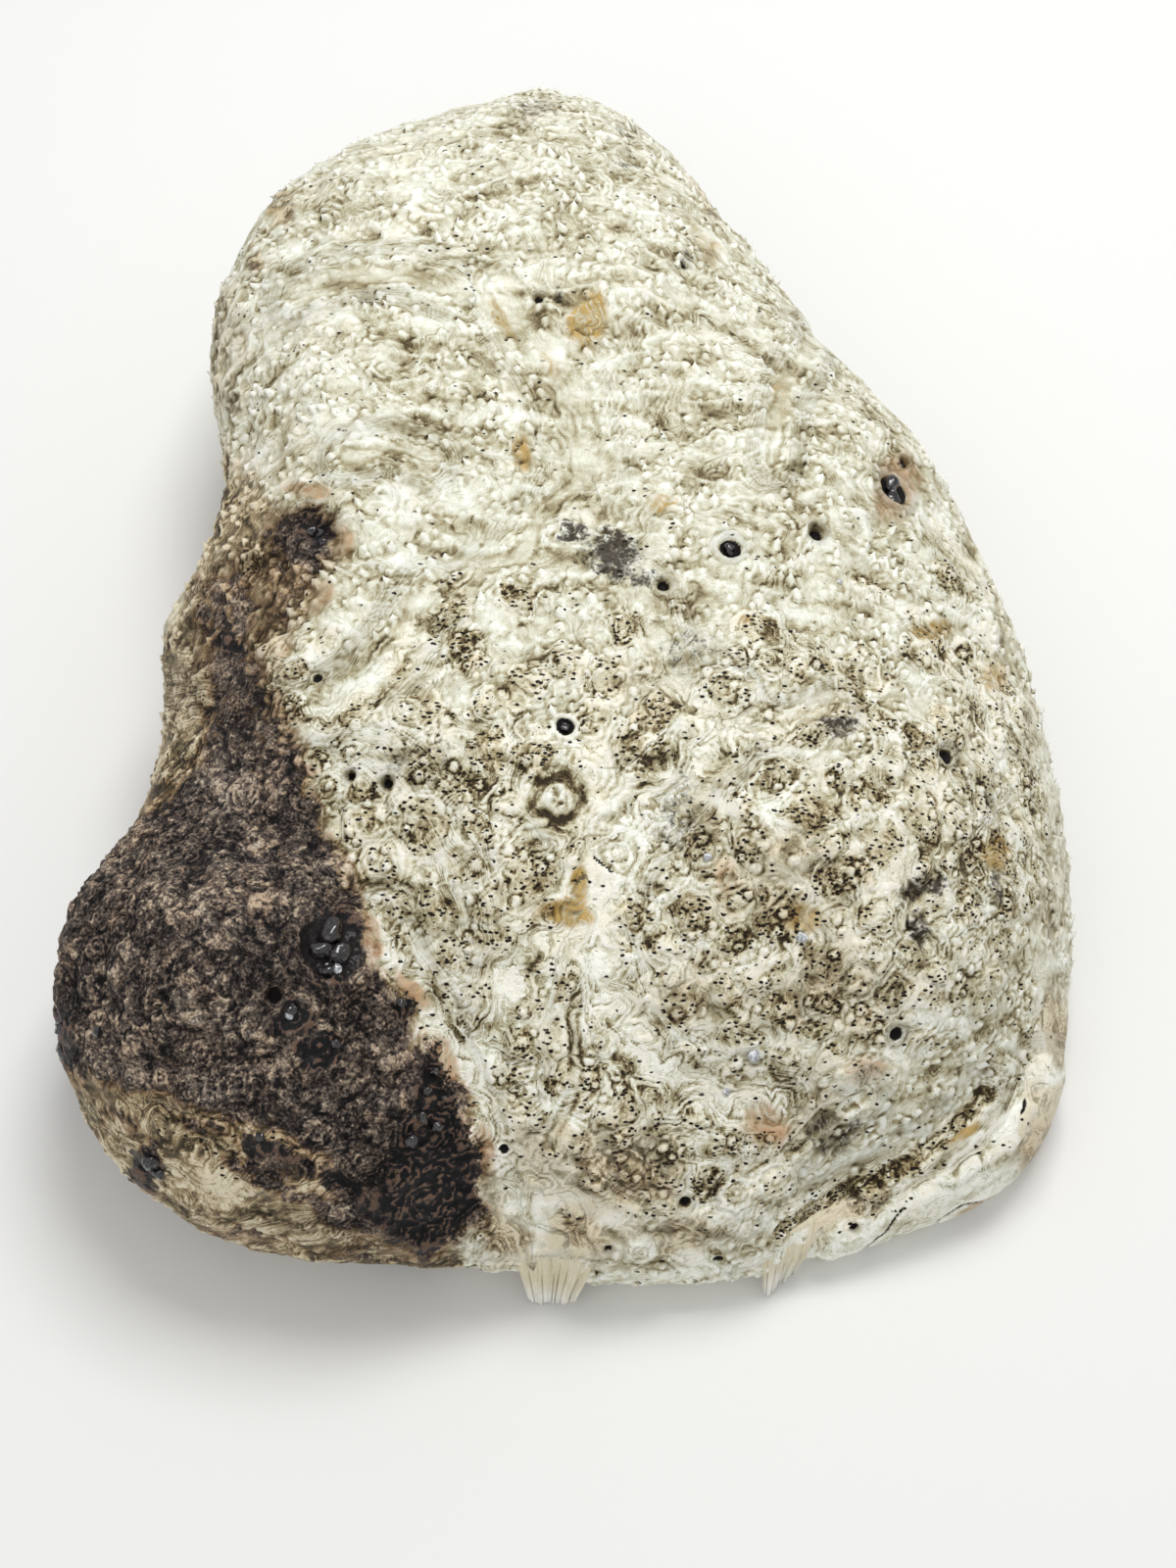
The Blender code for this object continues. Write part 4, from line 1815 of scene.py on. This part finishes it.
@dataclass
class SawnFace:
    """The flat face that the saw left, closed over the skin's rim."""

    rings: int = 4

    def build(self, skin: Skin, points: np.ndarray) -> bpy.types.Object:
        """Makes the face from the skin's rim.

        Args:
            skin: The grown skin.
            points: Its finished points.

        Returns:
            The sawn face.
        """
        loop = points[self.rim(skin.quads)]
        middle = loop.mean(axis=0)
        steps = np.linspace(1, 0, self.rings + 1)[:-1]
        rings = [middle + (loop - middle) * step for step in steps]
        count = len(loop)
        places = np.concatenate(rings + [middle[None]])
        around = np.arange(count)
        after = np.roll(around, -1)
        band = np.column_stack([around, after, after + count, around + count])
        quads = [band + ring * count for ring in range(self.rings - 1)]
        last = (self.rings - 1) * count
        fan = np.column_stack([last + around, last + after, np.full(count, len(places) - 1)])
        mesh = bpy.data.meshes.new("sawn_face")
        faces = np.concatenate(quads).tolist() + fan.tolist()
        mesh.from_pydata(places.tolist(), [], faces)
        if mesh.polygons[0].normal.z > 0:
            mesh.flip_normals()
        mesh.update()
        return place("sawn_face", mesh, replaces=True)

    @staticmethod
    def rim(quads: np.ndarray) -> np.ndarray:
        """The rim's points in order round the edge.

        Args:
            quads: The skin's faces.

        Returns:
            The points' numbers in order.
        """
        pairs = sides_of(quads)
        key = np.sort(pairs, axis=1)
        _, first, uses = np.unique(key, axis=0, return_index=True, return_counts=True)
        after = {int(a): int(b) for a, b in pairs[first[uses == 1]]}
        start = next(iter(after))
        order = [start]
        while after[order[-1]] != start:
            order.append(after[order[-1]])
        return np.array(order)


@dataclass(frozen=True)
class FibreTab:
    """A torn tab of long fibres that hangs from the near edge."""

    name: str
    across: float
    down: float
    width: float
    slant: float
    columns: int = 90
    rows: int = 34
    stand: float = 1.7 * MM
    buried: float = 1.2 * MM
    flare: float = 4.5 * MM
    ridge_height: float = 0.5 * MM
    crack_depth: float = 1.8 * MM
    edge_fall: float = 1.6 * MM
    thickness_mm: float = 3.4
    thinning_mm: float = 2.4

    def build(self, skin: Skin, points: np.ndarray) -> bpy.types.Object:
        """Makes the tab as a closed sheet that grows out of the skin.

        Args:
            skin: The grown skin.
            points: Its finished points.

        Returns:
            The tab.
        """
        draw = np.random.default_rng(int(self.across))
        noise = Noise(int(self.across))
        root = skin.bare[skin.pick(self.across, self.down)]
        u = np.linspace(-1, 1, self.columns)
        v = np.linspace(0, 1, self.rows)[:, None]
        places = np.column_stack([u * self.width / 2, 0 * u, 0 * u + 0.01])
        end = (1.5 + 5 * np.abs(u - self.slant) ** 2) * MM + 3 * MM * noise(places, 5 * MM, 3)
        end = np.maximum(end + draw.normal(0, 0.5 * MM, self.columns), 0.6 * MM)
        z = root[2] + v * (end - root[2])
        x = root[0] + u * self.width / 2 * (1.15 - 0.55 * v) + self.slant * 8 * MM * v
        ridge = self.ridge_height * noise(places, 2.4 * MM, 3) * ease(v, 0.1, 0.5)
        crack = ease(-np.abs(noise(places + 0.3, 5 * MM)), -0.08, -0.02)
        ridge = ridge - self.crack_depth * crack * ease(v, 0.3, 0.7)
        rise = ease(v + 0.22 * noise(places, 3 * MM, 2), 0.0, 0.55)
        outer = self.girth(points, x, z) + self.stand * rise - self.buried
        outer = outer + ridge + self.flare * v**2
        outer = outer - self.edge_fall * u**6 * (1 - 0.5 * v)
        inner = outer - (self.thickness_mm - self.thinning_mm * v) * MM * (1 - 0.8 * u**8)
        sheets = [np.stack([x, -y, z], axis=2).reshape(-1, 3) for y in (outer, inner)]
        return place(self.name, mesh_of(self.name, np.concatenate(sheets), self.quads()))

    def quads(self) -> np.ndarray:
        """The faces of the outer sheet, the inner sheet and the walls between them.

        Returns:
            The faces, one a row.
        """
        index = np.arange(self.rows * self.columns).reshape(self.rows, self.columns)
        sheet = np.stack([index[:-1, :-1], index[1:, :-1], index[1:, 1:], index[:-1, 1:]], -1)
        sheet = sheet.reshape(-1, 4)
        rim = np.concatenate([index[0, :-1], index[:-1, -1], index[-1, :0:-1], index[:0:-1, 0]])
        after = np.roll(rim, -1)
        shift = self.rows * self.columns
        walls = np.column_stack([rim, after, after + shift, rim + shift])
        return np.concatenate([sheet, sheet[:, ::-1] + shift, walls])

    def girth(self, points: np.ndarray, x: np.ndarray, z: np.ndarray) -> np.ndarray:
        """How far out the skin has come at and above each height.

        Args:
            points: The skin's finished points.
            x: Where each of the tab's points is across, one row a height.
            z: Their heights, from the root down.

        Returns:
            The reach towards the near edge, the same shape as x.
        """
        near = points[(np.abs(points[:, 0] - x.mean()) < self.width) & (points[:, 1] < 0)]
        near = near[near[:, 1] < near[:, 1].min() + 0.03]
        reach = np.zeros_like(x)
        for column in range(x.shape[1]):
            aside = np.abs(near[:, 0] - x[:, column].mean())
            some = near[aside < 3 * MM]
            for row in range(x.shape[0]):
                level = some[np.abs(some[:, 2] - z[row, column]) < 2.5 * MM]
                reach[row, column] = -level[:, 1].mean() if len(level) else 0
        reach = np.maximum.accumulate(reach, axis=0)
        for _ in range(12):
            reach[:, 1:-1] += 0.25 * (reach[:, :-2] - 2 * reach[:, 1:-1] + reach[:, 2:])
            reach[1:-1] += 0.25 * (reach[:-2] - 2 * reach[1:-1] + reach[2:])
        return reach


TABS = (
    FibreTab("left_fibre_tab", 568, 1270, 28 * MM, -0.3),
    FibreTab("right_fibre_tab", 812, 1268, 21 * MM, -0.5),
)


@dataclass(frozen=True)
class TabFinish:
    """Pale torn fibres with dark cracks."""

    stops: Stops = (
        (0.0, paint(70, 58, 38)),
        (0.22, paint(180, 166, 130)),
        (0.45, paint(228, 225, 210)),
        (1.0, paint(252, 252, 248)),
    )
    # Olive-cream tint near the root: partly the skin's colour, partly painted shade.
    root: Colour = (0.84, 0.76, 0.58, 1.0)
    fade: float = 10 * MM

    def material(self) -> bpy.types.Material:
        """Wires the finish.

        Returns:
            The material.
        """
        board = Board("torn_fibres")
        swirl = board.noise(6 * MM, 2, 0.5)
        x, _, up = board.parts()
        across = x * (1 / MM) + swirl * 3
        hairs = board.streaks(across, 0.7, 30 * MM, 3)
        bands = board.streaks(across, 2.8, 60 * MM)
        # Towards the root the fibres take on the skin's olive-cream and darken: partly the skin's
        # colour carried on, partly painted shade where the tab meets the skin.
        top = (up * (1 / self.fade) + swirl * 1.2).rise(1.0, 2.6)
        tone = hairs * 0.9 + bands * 0.7 + swirl * 0.3 - top * 0.2 - 0.16
        colour = board.ramp(tone, self.stops)
        board.shine(
            Base_Color=board.mix(top * 0.8, colour, self.root, "MULTIPLY"),
            Roughness=0.6,
            Normal=board.bump(hairs + bands * 0.5, 0.7 * MM, 0.7),
        )
        return board.material


@dataclass(frozen=True)
class Beads:
    """Small lumps that stick to the skin, one at each pixel of a list."""

    name: str
    spots: tuple[tuple[float, float, float], ...]
    roughness: float = 0.25

    def build(self, skin: Skin, points: np.ndarray) -> bpy.types.Object:
        """Makes the lumps as one piece.

        Args:
            skin: The grown skin.
            points: Its finished points.

        Returns:
            The lumps.
        """
        noise = Noise(len(self.spots))
        lumps = bmesh.new()
        for across, down, radius in self.spots:
            spot = skin.pick(across, down)
            size = radius * PIXEL_MM * MM
            made = bmesh.ops.create_icosphere(lumps, subdivisions=3, radius=size)["verts"]
            coords = np.array([vert.co[:] for vert in made])
            swell = 1 + self.roughness * noise(coords + across, size * 1.1, 2)
            middle = points[spot] + skin.normal[spot] * size * 0.15
            for vert, co, grown in zip(made, coords, swell):
                vert.co = middle + co * grown
        mesh = bpy.data.meshes.new(self.name)
        lumps.to_mesh(mesh)
        lumps.free()
        mesh.polygons.foreach_set("use_smooth", [True] * len(mesh.polygons))
        return place(self.name, mesh)


# Clear resin drops, pale; the specks among the black beads near 345, 980 and 300, 1038 stand for
# glints, painted highlights.
RESIN_AND_GLINT_BEADS = Beads(
    "resin_and_painted_glint_beads",
    (
        (770, 1081, 6), (822, 958, 5), (745, 1118, 3.5), (720, 873, 4), (348, 985, 5),
        (352, 972, 3), (338, 990, 3), (299, 1038, 4), (858, 590, 3), (430, 1140, 2.5),
    ),
)
BLACK_BEADS = Beads(
    "black_resin_beads",
    (
        (341, 946, 12), (350, 968, 10), (330, 964, 9), (338, 986, 7), (300, 1032, 5),
        (152, 1188, 8), (160, 1200, 6), (100, 1052, 5), (436, 1112, 5), (446, 1092, 4),
        (430, 1136, 5), (420, 1160, 6), (448, 1152, 5), (60, 1050, 6), (57, 1072, 7),
        (262, 1160, 4), (345, 1064, 5), (412, 1022, 5), (320, 540, 5), (330, 552, 4),
        (914, 490, 9), (918, 504, 8), (747, 556, 6), (578, 738, 5), (926, 470, 4),
    ),
    0.5,
)


@dataclass(frozen=True)
class BeadFinish:
    """Glossy resin: black, or pale for clear drops and for painted glints."""

    name: str
    dark: Colour
    light: Colour

    def material(self) -> bpy.types.Material:
        """Wires the finish.

        Returns:
            The material.
        """
        board = Board(self.name)
        cloud = board.noise(1.6 * MM, 3, 1.0)
        fine = board.noise(0.5 * MM, 2)
        board.shine(
            Base_Color=board.ramp(cloud.rise(0.3, 0.7), ((0.0, self.dark), (1.0, self.light))),
            Roughness=0.12 + fine * 0.2,
            Normal=board.bump(cloud, 0.5 * MM, 0.4),
        )
        board.shine(Coat_Weight=0.8, Coat_Roughness=0.05)
        return board.material


# Pale grey to white: the clear drops' colour, and painted glints.
PALE_RESIN_AND_GLINT = BeadFinish("pale_resin_and_painted_glint", paint(120, 122, 128), paint(232, 236, 240))
BLACK_RESIN = BeadFinish("black_resin", paint(6, 5, 7), paint(44, 38, 40))


@dataclass(frozen=True)
class Lamp:
    """A soft square light that faces the object."""

    name: str
    where: tuple[float, float, float]
    size: float
    power: float
    aim: tuple[float, float, float] = (0, 0, 0.05)

    def hang(self) -> None:
        """Hangs the light in the scene."""
        data = bpy.data.lights.new(self.name, "AREA")
        data.size = self.size
        data.energy = self.power
        lamp = bpy.data.objects.new(self.name, data)
        lamp.location = self.where
        towards = Vector(self.aim) - Vector(self.where)
        lamp.rotation_euler = towards.to_track_quat("-Z", "Y").to_euler()
        bpy.context.scene.collection.objects.link(lamp)


@dataclass(frozen=True)
class Stage:
    """A plain pale floor under soft studio light."""

    floor_size: float = 24
    floor_colour: Colour = paint(236, 236, 234)
    key: Lamp = Lamp("key", (0.25, 0.52, 1.58), 0.7, 16.6)
    fill: Lamp = Lamp("fill", (-0.7, -1.3, 1.2), 1.6, 5)
    air_strength: float = 0.55

    def build(self) -> None:
        """Adds the floor, the lights and the air's light."""
        mesh = bpy.data.meshes.new("floor")
        half = self.floor_size / 2
        corners = [(-half, -half, 0), (half, -half, 0), (half, half, 0), (-half, half, 0)]
        mesh.from_pydata(corners, [], [(0, 1, 2, 3)])
        board = Board("pale_floor")
        board.shine(Base_Color=self.floor_colour, Roughness=0.9)
        mesh.materials.append(board.material)
        floor = bpy.data.objects.new("floor", mesh)
        bpy.context.scene.collection.objects.link(floor)
        self.key.hang()
        self.fill.hang()
        world = bpy.data.worlds.new("soft_air")
        world.use_nodes = True
        air = world.node_tree.nodes["Background"]
        air.inputs["Color"].default_value = (1, 1, 1, 1)
        air.inputs["Strength"].default_value = self.air_strength
        bpy.context.scene.world = world
        bpy.context.scene.view_settings.view_transform = "Standard"


def main() -> None:
    """Builds the pieces in order and reports each."""
    logging.basicConfig(level=logging.INFO, format="%(name)s %(message)s")
    view = PhotoView()
    skin = Skin(view)
    skin.grow()
    finish = BurlFinish().material()
    for strip in skin.pieces(STRIPS):
        strip.data.materials.append(finish)
    points = skin.finished()
    sawn = SawnFace().build(skin, points)
    sawn.data.materials.append(SawnFinish().material())
    fibres = TabFinish().material()
    for tab in TABS:
        tab.build(skin, points).data.materials.append(fibres)
    for beads, resin in ((RESIN_AND_GLINT_BEADS, PALE_RESIN_AND_GLINT), (BLACK_BEADS, BLACK_RESIN)):
        beads.build(skin, points).data.materials.append(resin.material())
    Stage().build()
    view.add_camera()
    log.info("size written")


if __name__ == "__main__":
    main()
